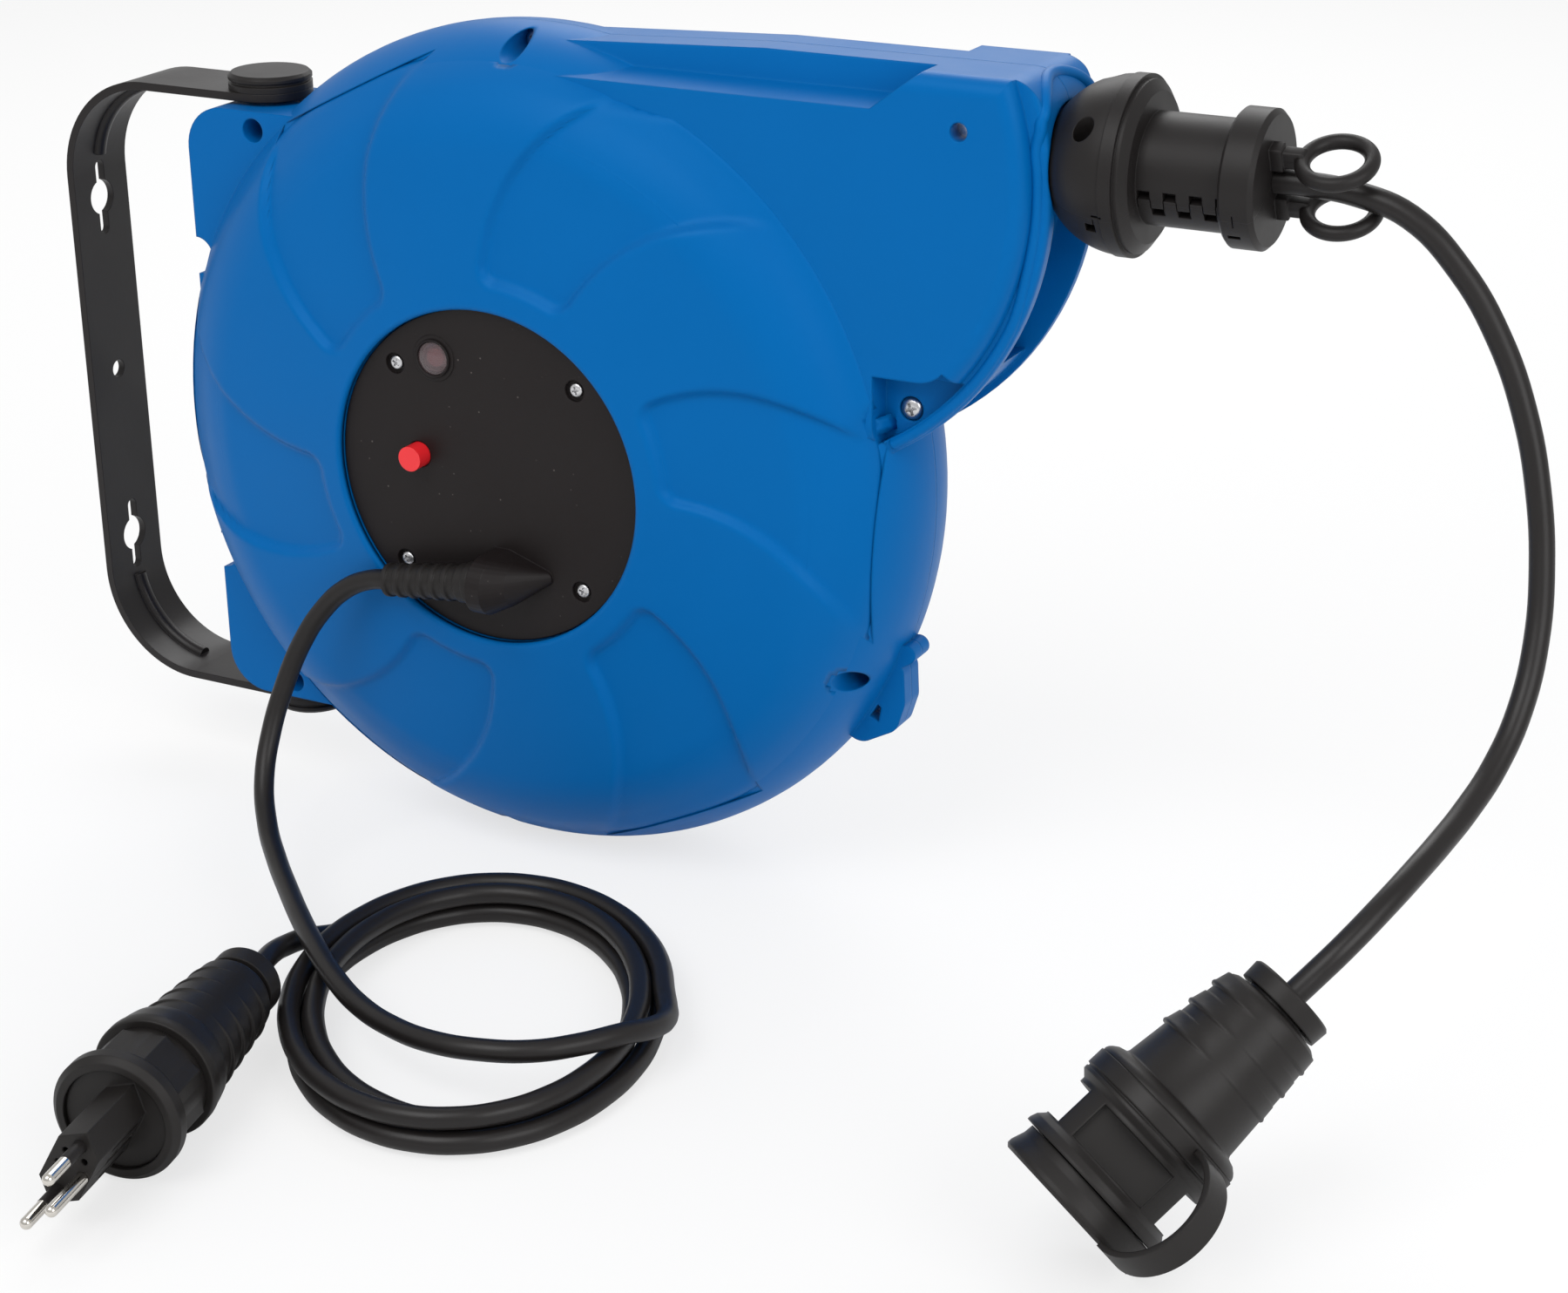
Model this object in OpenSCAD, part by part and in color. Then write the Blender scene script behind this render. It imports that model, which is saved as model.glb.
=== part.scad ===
// Wall-mounted, spring-retracting extension cord reel.
// X points forward from the wall, Z up, and the face with the supply lead looks towards -Y.
// The origin is the centre of the wall bracket's back face. Sizes are in millimetres.

/* [Casing] */
// Radius of the round casing at its seam
rim_r = 154.5; // [150:0.5:162]
// Gap between the wall and the casing's rim
wall_gap = 51.5; // [48:0.5:60]
// Depth of each casing half from the seam to its face
half_depth = 48; // [46:0.5:54]
// Radius of the rounded shoulder between face and rim
corner_r = 42; // [38:0.5:45]
// Radius of the round opening in the face
face_r = 62; // [60:0.5:66]
// Wall thickness of the casing
wall = 2.5; // [2:0.1:3.2]
// Depth of the spiral petals pressed into the face
petal_depth = 1.6; // [1:0.1:2]

/* [Nose] */
// Half width of the nose that the cord runs out of
nose_half = 28; // [26:0.5:32]
// Radius of the nose's round front
nose_r = 108; // [104:0.5:112]
// Distance from the drum axis to the centre of the nose's front arc
nose_reach = 95; // [92:0.5:100]
// Height of the nose's top over the rim
nose_rise = 0.5; // [0.2:0.1:3]
// Fall of the nose's top towards the drum axis
nose_dip = 4.5; // [0:0.5:8]
// Half width of the nose's flat top between its coves
top_half = 12; // [10:0.5:16]
// Depth of the cove along each upper edge of the nose
cove_h = 10; // [6:0.5:12]
// Half width of the mouth between the lips
mouth_half = 17; // [15:0.5:18]
// Width of each lip
lip_w = 5; // [4:0.5:6]
// Depth of the mouth behind the lips
mouth_depth = 12; // [10:0.5:13]
// Radius of the hole that the cord passes through
outlet_r = 11; // [9:0.5:12]

/* [Rear block] */
// Distance from the wall to the back of the block
block_x = 65; // [62:0.5:68]
// Height of the block over the rim where the bracket's arm ends
block_over = 0.4; // [0.3:0.1:2]
// Half width of the block
block_half_w = 22; // [20:0.5:24]
// Corner radius of the block
block_corner_r = 16; // [12:1:20]

/* [Wall bracket] */
// Thickness of the steel bar
bar_t = 3; // [2.5:0.5:5]
// Width of the steel bar
bar_w = 31; // [28:1:34]
// Outer radius of the bends
bend_r = 40; // [30:1:50]
// Distance from the wall to the swivel axis
pivot_x = 88; // [86:1:92]
// Gap between the block and each arm
arm_gap = 1.5; // [1:0.1:3]
// Distance between the two keyholes
keyhole_spacing = 139; // [120:1:145]
// Radius of the round part of a keyhole
keyhole_r = 6.7; // [6.5:0.1:8]
// Width of a keyhole's slots
keyslot_w = 4.9; // [4:0.1:4.9]
// Length of a keyhole from end to end
keyslot_l = 29; // [26:1:34]
// Radius of the hole in the middle of the bar
centre_hole_r = 3.5; // [2.5:0.1:5]
// Height of the cap over a swivel bolt
cap_h = 6; // [5.5:0.5:9]
// Radius of a swivel bolt
pivot_bolt_r = 4; // [3:0.5:5]

/* [Centre plate] */
// Thickness of the plate
plate_t = 3; // [2.5:0.5:3.5]
// Depth of the plate's face below the rim of its opening
plate_recess = 2.2; // [1:0.1:3]
// Radius of the circle of plate screws
plate_screw_circle = 52.8; // [50:0.2:54]
// Radius of the reset button
button_r = 4.6; // [3.5:0.1:5]
// Height of the reset button over the plate
button_proud = 6.5; // [5:0.5:8]
// Travel of the reset button
button_travel = 3; // [2:0.5:3.5]
// Radius of the pilot lens
lens_r = 6; // [4:0.5:7]
// Radius of the supply inlet hood
hood_r = 10.3; // [10:0.1:12]
// Length of the supply lead's strain relief
relief_l = 39.9; // [36:0.1:44]

/* [Drum] */
// Radius of the axle
axle_r = 8; // [7:0.5:9]
// Gap between the drum's flanges and the casing's rim
flange_gap = 16.5; // [15:0.5:20]
// Depth of the flanges round the hub
flange_depth = 48; // [46:0.5:50]
// Half width of the drum between its flanges
drum_half_w = 26; // [24:0.5:27]
// Radial depth of the wound cord
winding_depth = 31.6; // [28:0.1:33]
// Thickness of each flange
flange_t = 2; // [1.5:0.1:2.2]
// Number of ratchet teeth
teeth = 24; // [18:1:30]
// Number of turns of the mainspring
spring_turns = 9; // [6:1:12]

/* [Outlet] */
// Diameter of the outlet cord
cord_d = 8.1; // [7.5:0.1:8.3]
// Radius of the guide rollers
roller_r = 7.25; // [6:0.25:8]
// Radius of the round end of the cable stop
stop_r = 29.5; // [27:0.5:31]
// Radius of the cable stop's neck
neck_r = 18.25; // [16:0.25:20]
// Length of the cable stop from the ball's rim to the front
stop_l = 47.5; // [42:0.5:54]
// Angle of the split between the stop's halves
split_tilt = 25; // [0:5:45]

/* [Connector and plug] */
// Largest radius of the connector
conn_r = 26.8; // [26:0.1:29]
// Length of the connector's grip
conn_grip_l = 44; // [40:0.5:50]
// Length of the connector's socket body
conn_body_l = 15.1; // [14:0.1:20]
// Depth of the connector's cap
cap_l = 9.6; // [9:0.1:13]
// Largest radius of the plug
plug_r = 21.75; // [20:0.25:24]
// Length of the plug's grip
plug_grip_l = 42; // [36:1:48]
// Length of the plug's collar
plug_collar_l = 26; // [22:1:30]
// Diameter of the supply lead
lead_d = 7.5; // [7:0.1:7.6]
// Diameter of a plug pin
pin_d = 4; // [4:0.1:4.8]
// Length of a plug pin
pin_l = 20.5; // [17:0.5:22]

/* [Hidden] */

$fn = 96;
eps = 0.01;
slack = 0.05;          // between a fixed pin or screw and its hole
running = 0.05;        // radial clearance of a turning shaft
soft_gap = 0.3;        // between parts that move past each other
cut_over = 5;          // how far a cut runs past a face

blue = "#0060a8";
black = "#26252a";
steel = "#b9bcc0";
brass = "#c9a24c";

// casing
drum_x = rim_r + wall_gap;
arc_c = rim_r - corner_r;
slope = acos(corner_r / norm([arc_c - face_r, half_depth])) - atan2(arc_c - face_r, half_depth);
face_seat = half_depth - plate_recess;
plate_back = face_seat - plate_t;
seat_t = 2.5;
cord_r = cord_d / 2;
flange_r = rim_r - flange_gap;
hub_r = flange_r - flange_depth;
block_half_h = sqrt(pow(rim_r, 2) - pow(drum_x - pivot_x - bar_w / 2, 2)) + block_over;
winding_r = hub_r + winding_depth;
run_gap = 0.35;
outlet_z = winding_r + cord_r + run_gap;
nose_x = drum_x + nose_reach;
nose_z = outlet_z - 8;
nose_top = rim_r + nose_rise;
nose_edge_r = 6;
nose_corner_r = 12;
cove_l = 160;
cove_fall = 3;
mouth_r = nose_r - mouth_depth;
lip_half = mouth_half + lip_w;
ball_x = nose_x + nose_r + 19.5;
seat_ball_r = stop_r + soft_gap;
block_front_x = block_x + 85;
notch_r = 7;
notch_z = 59;
petal_count = 6;
petal_span = 29;
petal_start_r = 71;
petal_end_r = rim_r - 6;
panel_low_z = 52;
panel_corner_r = 12;
ledge_x = drum_x + 143;
ledge_h = 17;
ledge_lip = 5;

// screws through the casing: x, z and the height of the screw's seat over the seam
screw_r = 1.9;
screw_head_r = 3.9;
screw_head_h = 2.8;
post_r = 6.9;
pocket_r = 4.4;
pocket_floor = 5;
pilot_l = 14;
post_ring_r = rim_r - 5.5;
block_screw_z = block_half_h - 7;
lug_screw = [drum_x + (rim_r - 8) * cos(25), -(rim_r - 8) * sin(25)];
ledge_floor = ledge_h - 2;
screw_places = [
  [ledge_x + 9.6, panel_low_z - 13, ledge_floor],
  for (a = [89, 265]) [drum_x + post_ring_r * cos(a), post_ring_r * sin(a), pocket_floor],
  [lug_screw[0], lug_screw[1], pocket_floor],
  for (s = [-1, 1]) [block_x + 30, s * block_screw_z, pocket_floor]
];
lug_half = 6;

// bracket
arm_z = block_half_h + arm_gap;
bar_top = arm_z + bar_t;
arm_end_r = bar_w / 2;
bush_r = pivot_bolt_r + 2;
bolt_head_r = 8;
bolt_head_h = 4;
bolt_l = 28;
nut_z = block_half_h - 20;
nut_h = 6;
nut_af_r = 7.5;
pivot_post_r = 11;

// centre plate
plate_r = face_r - 0.5;
plate_screw_r = 1.9;
plate_head_r = 2.6;
plate_pocket_r = 3.9;
plate_pocket = 1.8;
cover_screw_circle = 34;
hub_cover_r = 40;
hub_dome_r = 22;
hub_dome_h = 8;
hub_cover_t = 2;
lens_at = [-20.5, 41.5];
button_at = [-29.1, 4.4];
hood_z = -36.5;
hood_open_x = 1.5;
hood_tip_x = 22.5;
hood_wall = 2;
terminal_at = [-4, hood_z - 5.5];
inlet_h = face_seat + 11;
relief_tilt = 7.5;
lead_r = lead_d / 2;
cutout_size = [14, 26, 22];
terminal_size = [26, 14, 13];
terminal_pitch = 8.5;
lens_rim = 0.4;
lens_proud = 0.9;
lens_round = 14;

// drum, heights measured from the seam, positive towards the near side
hub_wall = 3;
web_low = 9;
web_high = 12;
bush_out_r = axle_r + 2;
tube_r = bush_out_r + 3;
post_circle = hub_r - 6.5;
drum_post_r = 4;
drum_posts = 6;
flange_in_r = hub_r - 10;
cover_t = 2;
cover_clear = 0.2;
ratchet_t = 5;
ratchet_tip_r = 98;
ratchet_root_r = 92;
pitch = 360 / teeth;
carrier_r = 18;
carrier_top = 34;
slip_r = 20;
slip_levels = [15, 21, 27];
slip_w = 3;
spring_t = 1;
spring_in_r = axle_r + 4;
spring_out_r = 74;
spring_low = -21;
spring_high = -3;

// pawl
pawl_turn = 215;
pawl_pivot_r = 116;
pawl_pin_r = 2;
pawl_low = drum_half_w + flange_t + 0.6;
pawl_t = 3;
pawl_l = 28.6;
pawl_rest = -129.8;
pawl_spring_h = 3.2;
steep_at = -12.2;

// rollers and their pins
roller_x = nose_x + nose_r - 29.6;
roller_dz = cord_r + soft_gap + roller_r;
roller_half = mouth_half - 1;
roller_pin_r = 3;
roller_post_r = 6;

// cable stop
stop_front_x = ball_x + stop_l;
flange_stop_r = 22.5;
flange_stop_l = 11.5;
eye_r = 10.8;
eye_wire_r = 2.5;
eye_off = 9.6;
eye_x = stop_front_x + 21;
stop_screw_off = 14;

// outlet cord: steps from the front of the stop
outlet_steps = [
  [0, 0, 0], [10, 0, 0], [27, 0, -1.5], [44, 0, -6.8], [61.2, -0.7, -21.6], [75.2, -2.1, -41.1],
  [85.6, -4.5, -62.9], [92.8, -8.3, -85.7], [97.5, -14.1, -108.7], [99.8, -22.6, -130.3],
  [99.4, -34.5, -148.8], [96.7, -49.6, -162.5], [93.2, -66.3, -170.8], [90.3, -81.9, -175.2],
  [87.2, -97.3, -178.9], [82.9, -112.4, -184], [75.3, -127.5, -193.3], [69.2, -134.9, -200.5],
  [65.1, -139.9, -205.2]
];
outlet_start = [stop_front_x, 0, outlet_z];
outlet_route = [for (p = outlet_steps) outlet_start + p];

// connector, along its own axis from the cord's end
conn_yaw = -39.5;
conn_tilt = 36.7;
conn_at = outlet_route[len(outlet_route) - 1];
gland_l = 6.2;
gland_gap = 1.1;
conn_collar_l = 9.7;
conn_ring_l = 5.3;
grip_end = gland_l + gland_gap + conn_grip_l;
collar_end = grip_end + conn_collar_l;
body_end = collar_end + conn_body_l;
face_end = body_end + conn_ring_l;
cap_end = face_end + soft_gap + cap_l;
strap_turn = 4.5;
window_turn = 42.8;
rib_turn = 125;
socket_depth = 10;
contact_l = 17;
hex_half_l = 15.4;
hex_half_w = 7.2;
pin_pitch = 9.5;
earth_off = 5;

// supply lead: steps from the end of the strain relief
relief_at = [drum_x + hood_open_x, -inlet_h, hood_z];
relief_dir = [-cos(relief_tilt), 0, -sin(relief_tilt)];
supply_start = relief_at + relief_l * relief_dir;
coil_pitch = lead_d + 0.7;
coil_turns = 3 + 125 / 360;
coil_begin = 235;
coil_axes = [65, 85];
coil_u = [cos(27.7), sin(27.7), 0];
coil_v = [sin(27.7), -cos(27.7), 0];
coil_at = supply_start + [93, -97, -108.5];
coil_rings = 24;
lead_steps = [
  [0, 0, 0], [-7.9, 0, -1.4], [-18, -1.5, -6], [-27.5, -4.5, -15.5], [-34.5, -9, -28],
  [-39, -15, -43], [-41, -22.5, -59], [-38, -33, -74], [-28, -46, -84.5], [-14, -60, -89.5],
  [2, -75, -91.5], [18, -90, -91.8], [34, -104, -92], [51, -117, -93.5], [69, -128, -94.5],
  [88, -136, -94], [106, -140, -92.8], [124, -139, -91.6], [139, -132.5, -91.6],
  [150, -122, -91.8], [158.5, -108, -92.8], [162, -94, -96.5], [160, -82, -99.6]
];
plug_at = supply_start + [29.7, -135.7, -91];
plug_yaw = 10.9;
plug_roll = 61;
tail_steps = [[19.5, -73, -106], [17, -86, -102], [19, -100.5, -97.5], [23.5, -114.5, -93]];

// plug, along its own axis from the cord's end
plug_gland_l = 8;
plug_gap = 2;
plug_grip_end = plug_gland_l + plug_gap + plug_grip_l;
plug_flange_l = 15;
plug_flange_end = plug_grip_end + plug_flange_l;
plug_collar_end = plug_flange_end + plug_collar_l;
core_l = 28;
plug_face = plug_collar_end + core_l;
core_foot = 14;
core_recess = 1.5;

function unit(v) = v / norm(v);
function last(list) = list[len(list) - 1];

// ---------- placing ----------

// local x is forward, local y is up, local z points from the seam to the near side
module at_drum() translate([drum_x, 0, 0]) rotate([90, 0, 0]) children();
module at_point(x, z) translate([x, 0, z]) rotate([90, 0, 0]) children();
module far_side() mirror([0, 1, 0]) children();
module along_x(x) translate([x, 0, outlet_z]) rotate([0, 90, 0]) children();
module at_connector() translate(conn_at) rotate([0, 0, conn_yaw]) rotate([90 + conn_tilt, 0, 0]) children();
module at_plug() translate(plug_at) rotate([0, 0, plug_yaw]) rotate([90, 0, 0]) children();
module at_relief() translate(relief_at) rotate([0, -90 - relief_tilt, 0]) children();

// a disc, or a ring where an inner radius is given, between two heights
module disc(r, low, high, inner = 0) {
  translate([0, 0, low]) difference() {
    cylinder(r = r, h = high - low);
    if (inner > 0) translate([0, 0, -1]) cylinder(r = inner, h = high - low + 2);
  }
}

// an outline in x and z, from the seam out to the given half width on the near side
module near_slab(half_w) rotate([90, 0, 0]) linear_extrude(half_w) children();

// a tube swept along a route of points, its end faces square to the first and last steps
module swept(route, r, sides) {
  n = len(route);
  way = [for (i = [0:n - 1]) unit(route[min(i + 1, n - 1)] - route[max(i - 1, 0)])];
  first = unit(cross(way[0], abs(way[0][2]) < 0.9 ? [0, 0, 1] : [0, 1, 0]));
  side = [for (i = 0, s = first; i < n; i = i + 1, s = i < n ? unit(s - (s * way[i]) * way[i]) : s) s];
  points = [for (i = [0:n - 1]) for (k = [0:sides - 1])
    let (a = 360 * k / sides, up = cross(way[i], side[i]))
    route[i] + r * (cos(a) * side[i] + sin(a) * up)];
  walls = [for (i = [0:n - 2]) for (k = [0:sides - 1])
    let (a = i * sides + k, b = i * sides + (k + 1) % sides)
    each [[a, b + sides, b], [a, a + sides, b + sides]]];
  caps = [for (k = [1:sides - 2]) each [[0, k, k + 1],
    [(n - 1) * sides, (n - 1) * sides + k + 1, (n - 1) * sides + k]]];
  polyhedron(points, concat(walls, caps));
}

// ---------- casing ----------

// half section of one casing half: a near flat cone that runs into a round shoulder
module case_section(inset) {
  arc_r = corner_r - inset;
  tangent_r = arc_c + arc_r * sin(slope);
  tangent_h = arc_r * cos(slope);
  polygon([[0, 0], [arc_c, 0], [tangent_r, tangent_h], [0, tangent_h + tangent_r * tan(slope)]]);
  intersection() {
    translate([arc_c, 0]) circle(arc_r);
    translate([arc_c, 0]) square(arc_r * 2);
  }
}

module dome(inset) rotate_extrude() case_section(inset);

module nose_outline(inset) {
  r = nose_r - inset;
  top = nose_top - inset;
  corner = nose_corner_r - inset;
  corner_x = nose_x + sqrt(pow(nose_r - nose_corner_r, 2) - pow(nose_top - nose_corner_r - nose_z, 2));
  corner_z = nose_top - nose_corner_r;
  turn = atan2(corner_z - nose_z, corner_x - nose_x);
  translate([corner_x, corner_z]) circle(corner);
  polygon([[drum_x, 0], [drum_x, top - nose_dip], [nose_x, top], [corner_x, top], [corner_x, corner_z],
    [nose_x, nose_z]]);
  intersection() {
    translate([nose_x, nose_z]) circle(r);
    polygon([[nose_x, nose_z], [nose_x + 2 * r * cos(turn), nose_z + 2 * r * sin(turn)],
      [nose_x + 2 * r, -r], [drum_x, -r], [drum_x, nose_z]]);
  }
}

// half section of the nose's front, revolved about its arc's centre: panel, step, lip
module nose_section() {
  panel_r = nose_r - 2 * nose_edge_r;
  lip_edge = 2;
  square([panel_r, nose_half]);
  square([nose_r - lip_edge, lip_half]);
  square([nose_r, lip_half - lip_edge]);
  translate([panel_r, lip_half]) intersection() {
    circle(nose_half - lip_half);
    square(nose_half);
  }
  translate([nose_r - lip_edge, lip_half - lip_edge]) circle(lip_edge);
}

// the nose's upper near edge, rounded along its whole length
module nose_bar() {
  low = -2 * rim_r;
  translate([drum_x - 1, 0, 0]) rotate([90, 0, 90]) linear_extrude(nose_reach + nose_r + 20) {
    translate([-nose_half, low]) square([nose_half, nose_top - nose_edge_r - low]);
    translate([-nose_half + nose_edge_r, low]) square([nose_half - nose_edge_r, nose_top - low]);
    translate([-nose_half + nose_edge_r, nose_top - nose_edge_r]) circle(nose_edge_r);
  }
}

// what the cove along the near upper edge takes away, up to a slanted end before the front corner
module cove(grow) {
  floor_z = nose_top - cove_h - grow;
  intersection() {
    translate([drum_x - 2, 0, 0]) rotate([90, 0, 90]) linear_extrude(cove_l + 20)
      polygon([[-nose_half - 1, nose_top + 1], [-nose_half - 1, floor_z - cove_fall],
        [-top_half - 2 + grow, floor_z], [-top_half + grow, nose_top + 1]]);
    near_slab(nose_half + 1) polygon([[drum_x - 1, nose_top + 1], [drum_x - 1, floor_z - cove_fall - 1],
      [drum_x + cove_l - cove_h * 2 + grow, floor_z - cove_fall - 1], [drum_x + cove_l + grow, nose_top + 1]]);
  }
}

module nose_outside() {
  difference() {
    nose_body();
    cove(0);
  }
}

module nose_body() {
  intersection() {
    near_slab(nose_half) nose_outline(0);
    nose_bar();
    union() {
      at_point(nose_x, nose_z) rotate_extrude() nose_section();
      translate([drum_x - 1, -nose_half, -rim_r]) cube([nose_reach + 1, nose_half, 2 * rim_r + 10]);
    }
  }
}

module nose_inside() {
  difference() {
    intersection() {
      near_slab(nose_half - wall) nose_outline(wall);
      union() {
        at_point(nose_x, nose_z) cylinder(r = mouth_r - wall, h = nose_half);
        translate([drum_x - 1, -nose_half, -rim_r]) cube([nose_reach + 1, nose_half, 2 * rim_r]);
      }
    }
    cove(wall);
  }
}

module block_outline(inset) {
  r = block_corner_r - inset;
  top = block_half_h - inset;
  translate([block_x + block_corner_r, -top]) square([block_front_x - block_x - block_corner_r, 2 * top]);
  translate([block_x + inset, -block_half_h + block_corner_r])
    square([block_corner_r, 2 * (block_half_h - block_corner_r)]);
  for (s = [-1, 1]) translate([block_x + block_corner_r, s * (block_half_h - block_corner_r)]) circle(r);
}

// ear at the lower front, for a safety line
module lug() {
  near_slab(lug_half) translate(lug_screw) difference() {
    union() {
      hull() {
        translate([6.5, -3]) circle(6);
        translate([6.3, -13]) circle(6.6);
        translate([4.2, -20]) circle(6.5);
        translate([-4.5, -24.4]) circle(6.8);
        translate([-10, -24]) circle(5);
        translate([-13, -8]) circle(4);
      }
      hull() {
        translate([13.2, 5.5]) circle(3.6);
        translate([2, 1]) circle(6);
      }
    }
    polygon([[-1, -20.8], [2.6, -22.3], [3.6, -16.6], [2.3, -15.5]]);
  }
}

module outer_half() {
  at_drum() difference() {
    dome(0);
    petals();
  }
  nose_outside();
  near_slab(block_half_w) block_outline(0);
}

module inner_half() {
  at_drum() dome(wall);
  nose_inside();
  near_slab(block_half_w - wall) block_outline(wall);
}

// one petal as a spiral band between two curved edges
function petal_bend(r) = -18 * pow((r - petal_start_r) / 74, 1.8);
module petal() {
  steps = 5;
  rs = [for (i = [0:steps]) petal_start_r + (petal_end_r - petal_start_r) * i / steps];
  edge = [for (r = rs) [r * cos(petal_bend(r)), r * sin(petal_bend(r))]];
  other = [for (i = [steps:-1:0]) let (a = petal_bend(rs[i]) + petal_span) [rs[i] * cos(a), rs[i] * sin(a)]];
  linear_extrude(half_depth + cut_over) polygon(concat(edge, other));
}

// height of the casing's face at a radius
function face_h(r) = r < arc_c + corner_r * sin(slope) ? half_depth - (r - face_r) * tan(slope)
  : sqrt(max(pow(corner_r, 2) - pow(r - arc_c, 2), 0));

// what is pressed out of the face: six petals that fade into the shoulder
module petals() {
  fade = [for (r = [petal_start_r - 2, arc_c - 2, arc_c + 12, arc_c + 21, arc_c + 29])
    [r, face_h(r) - petal_depth * (r < arc_c + 13 ? 1 : 1.15)]];
  end = [petal_end_r + 1, face_h(petal_end_r + 1) + 0.5];
  difference() {
    for (i = [0:petal_count - 1]) rotate(1 + 60 * i) petal();
    rotate_extrude() polygon(concat([[0, 0], [0, fade[0][1]]], fade,
      [end, [end[0] + 10, end[1] - 20], [end[0] + 10, 0]]));
  }
}

// recess under the nose's panel, between the dome and the lip
module ledge_outline(grow) {
  intersection() {
    translate([nose_x, nose_z]) circle(nose_r - ledge_lip + grow);
    translate([ledge_x - grow, 0]) square([nose_r, panel_low_z + grow]);
  }
}

// what rounds the panel's lower front corner
module panel_corner() {
  panel_r = nose_r - 2 * nose_edge_r - panel_corner_r;
  corner_z = panel_low_z + panel_corner_r;
  corner_x = nose_x + sqrt(pow(panel_r, 2) - pow(nose_z - corner_z, 2));
  out = unit([corner_x - nose_x, corner_z - nose_z]);
  reach = 3 * panel_corner_r;
  translate([corner_x, corner_z]) difference() {
    polygon([[0, 0], [0, -reach], [reach, -reach], reach * out]);
    circle(panel_corner_r);
  }
}

// the cord's way out between the lips, closed by an arch over the cord
module mouth() {
  difference() {
    intersection() {
      at_point(nose_x, nose_z) disc(nose_r + cut_over, -1, mouth_half, mouth_r);
      union() {
        translate([nose_x, -half_depth, -rim_r]) cube([nose_r * 2, half_depth + 1, rim_r + outlet_z]);
        along_x(nose_x) cylinder(r = mouth_half, h = nose_r * 2);
      }
    }
    at_drum() dome(0);
    near_slab(half_depth) ledge_outline(wall);
  }
  along_x(nose_x) cylinder(r = outlet_r, h = nose_r * 2);
  translate([ball_x, 0, outlet_z]) sphere(seat_ball_r);
}

// what stays solid inside the shell: screw posts, notches, swivel posts, pin seats
module inside_posts() {
  for (p = screw_places) at_point(p[0], p[1]) cylinder(r = post_r, h = half_depth);
  for (s = [-1, 1]) {
    at_point(block_x, s * notch_z) cylinder(r = notch_r + wall, h = half_depth);
    mirror([0, 0, s < 0 ? 1 : 0]) translate([pivot_x, 0, nut_z - 4]) cylinder(r = pivot_post_r, h = 30);
    at_point(roller_x, outlet_z + s * roller_dz) disc(roller_post_r, mouth_half, nose_half);
  }
  translate([0, wall - ledge_h, 0]) near_slab(half_depth) ledge_outline(wall);
}

// the parts that both halves share, near side; screw holes go through to pockets for the heads,
// or are blind holes of the given depth
module half_shell(pilot) {
  difference() {
    union() {
      difference() {
        outer_half();
        difference() {
          inner_half();
          inside_posts();
        }
      }
      difference() {
        lug();
        at_drum() dome(wall);
      }
    }
    mouth();
    translate([0, -ledge_h, 0]) near_slab(half_depth) ledge_outline(0);
    translate([0, -lip_half, 0]) near_slab(half_depth) panel_corner();
    at_drum() cylinder(r = face_r, h = 2 * half_depth);
    for (p = screw_places) at_point(p[0], p[1]) {
      translate([0, 0, -1]) cylinder(r = screw_r + slack, h = (pilot > 0 ? pilot : p[2] + 1) + 1);
      if (pilot == 0) translate([0, 0, p[2]]) cylinder(r = pocket_r, h = half_depth);
    }
    at_point(roller_x, outlet_z + roller_dz) cylinder(r = roller_pin_r + slack, h = nose_half + 1);
    at_point(roller_x, outlet_z - roller_dz) cylinder(r = roller_pin_r + slack, h = lip_half + slack);
    for (s = [-1, 1]) {
      at_point(block_x, s * notch_z) translate([0, 0, -1]) cylinder(r = notch_r, h = half_depth + 2);
      mirror([0, 0, s < 0 ? 1 : 0]) translate([pivot_x, 0, 0]) {
        translate([0, 0, bar_top - bolt_l - 2]) cylinder(r = pivot_bolt_r + slack, h = bolt_l + 10);
        translate([0, 0, nut_z - slack]) cylinder(r = nut_af_r + slack, h = nut_h + 2 * slack, $fn = 6);
      }
    }
  }
}

module near_shell() {
  color(blue) {
    half_shell(0);
    // seat that the centre plate lies on
    at_drum() difference() {
      union() {
        disc(face_r + wall, plate_back - seat_t, half_depth - 1, face_r);
        disc(face_r + 0.5, plate_back - seat_t, plate_back, plate_screw_circle - 3.2);
      }
      for (a = [45:90:315]) rotate(a) translate([plate_screw_circle, 0, 0])
        cylinder(r = plate_screw_r + slack, h = half_depth);
    }
    // boss for the pawl's pin
    at_drum() rotate(pawl_turn) translate([pawl_pivot_r, 0, 0])
      disc(5, pawl_low + pawl_t + pawl_spring_h, half_depth - 7.7, pawl_pin_r + slack);
  }
}

module far_shell() {
  color(blue) far_side() {
    half_shell(pilot_l);
    at_drum() {
      disc(face_r + wall, plate_back - seat_t, half_depth - 1, face_r);
      difference() {
        union() {
          disc(face_r + 0.5, face_seat - wall, face_seat);
          disc(axle_r + 6, face_seat - wall - 5, face_seat - wall + 1);
          for (a = [0:60:300]) rotate(a) translate([axle_r + 5, -1, face_seat - wall - 4])
            cube([face_r - axle_r - 4.8, 2, 5]);
        }
        cylinder(r = axle_r - 2 + slack, h = half_depth);
        for (a = [45:90:315]) rotate(a) translate([cover_screw_circle, 0, 0])
          cylinder(r = plate_screw_r + slack, h = half_depth);
      }
    }
  }
}

module screw(head_r, head_h, shank_r, shank_l) {
  cylinder(r = head_r, h = head_h);
  translate([0, 0, -shank_l]) cylinder(r = shank_r, h = shank_l + 0.5);
}

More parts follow.
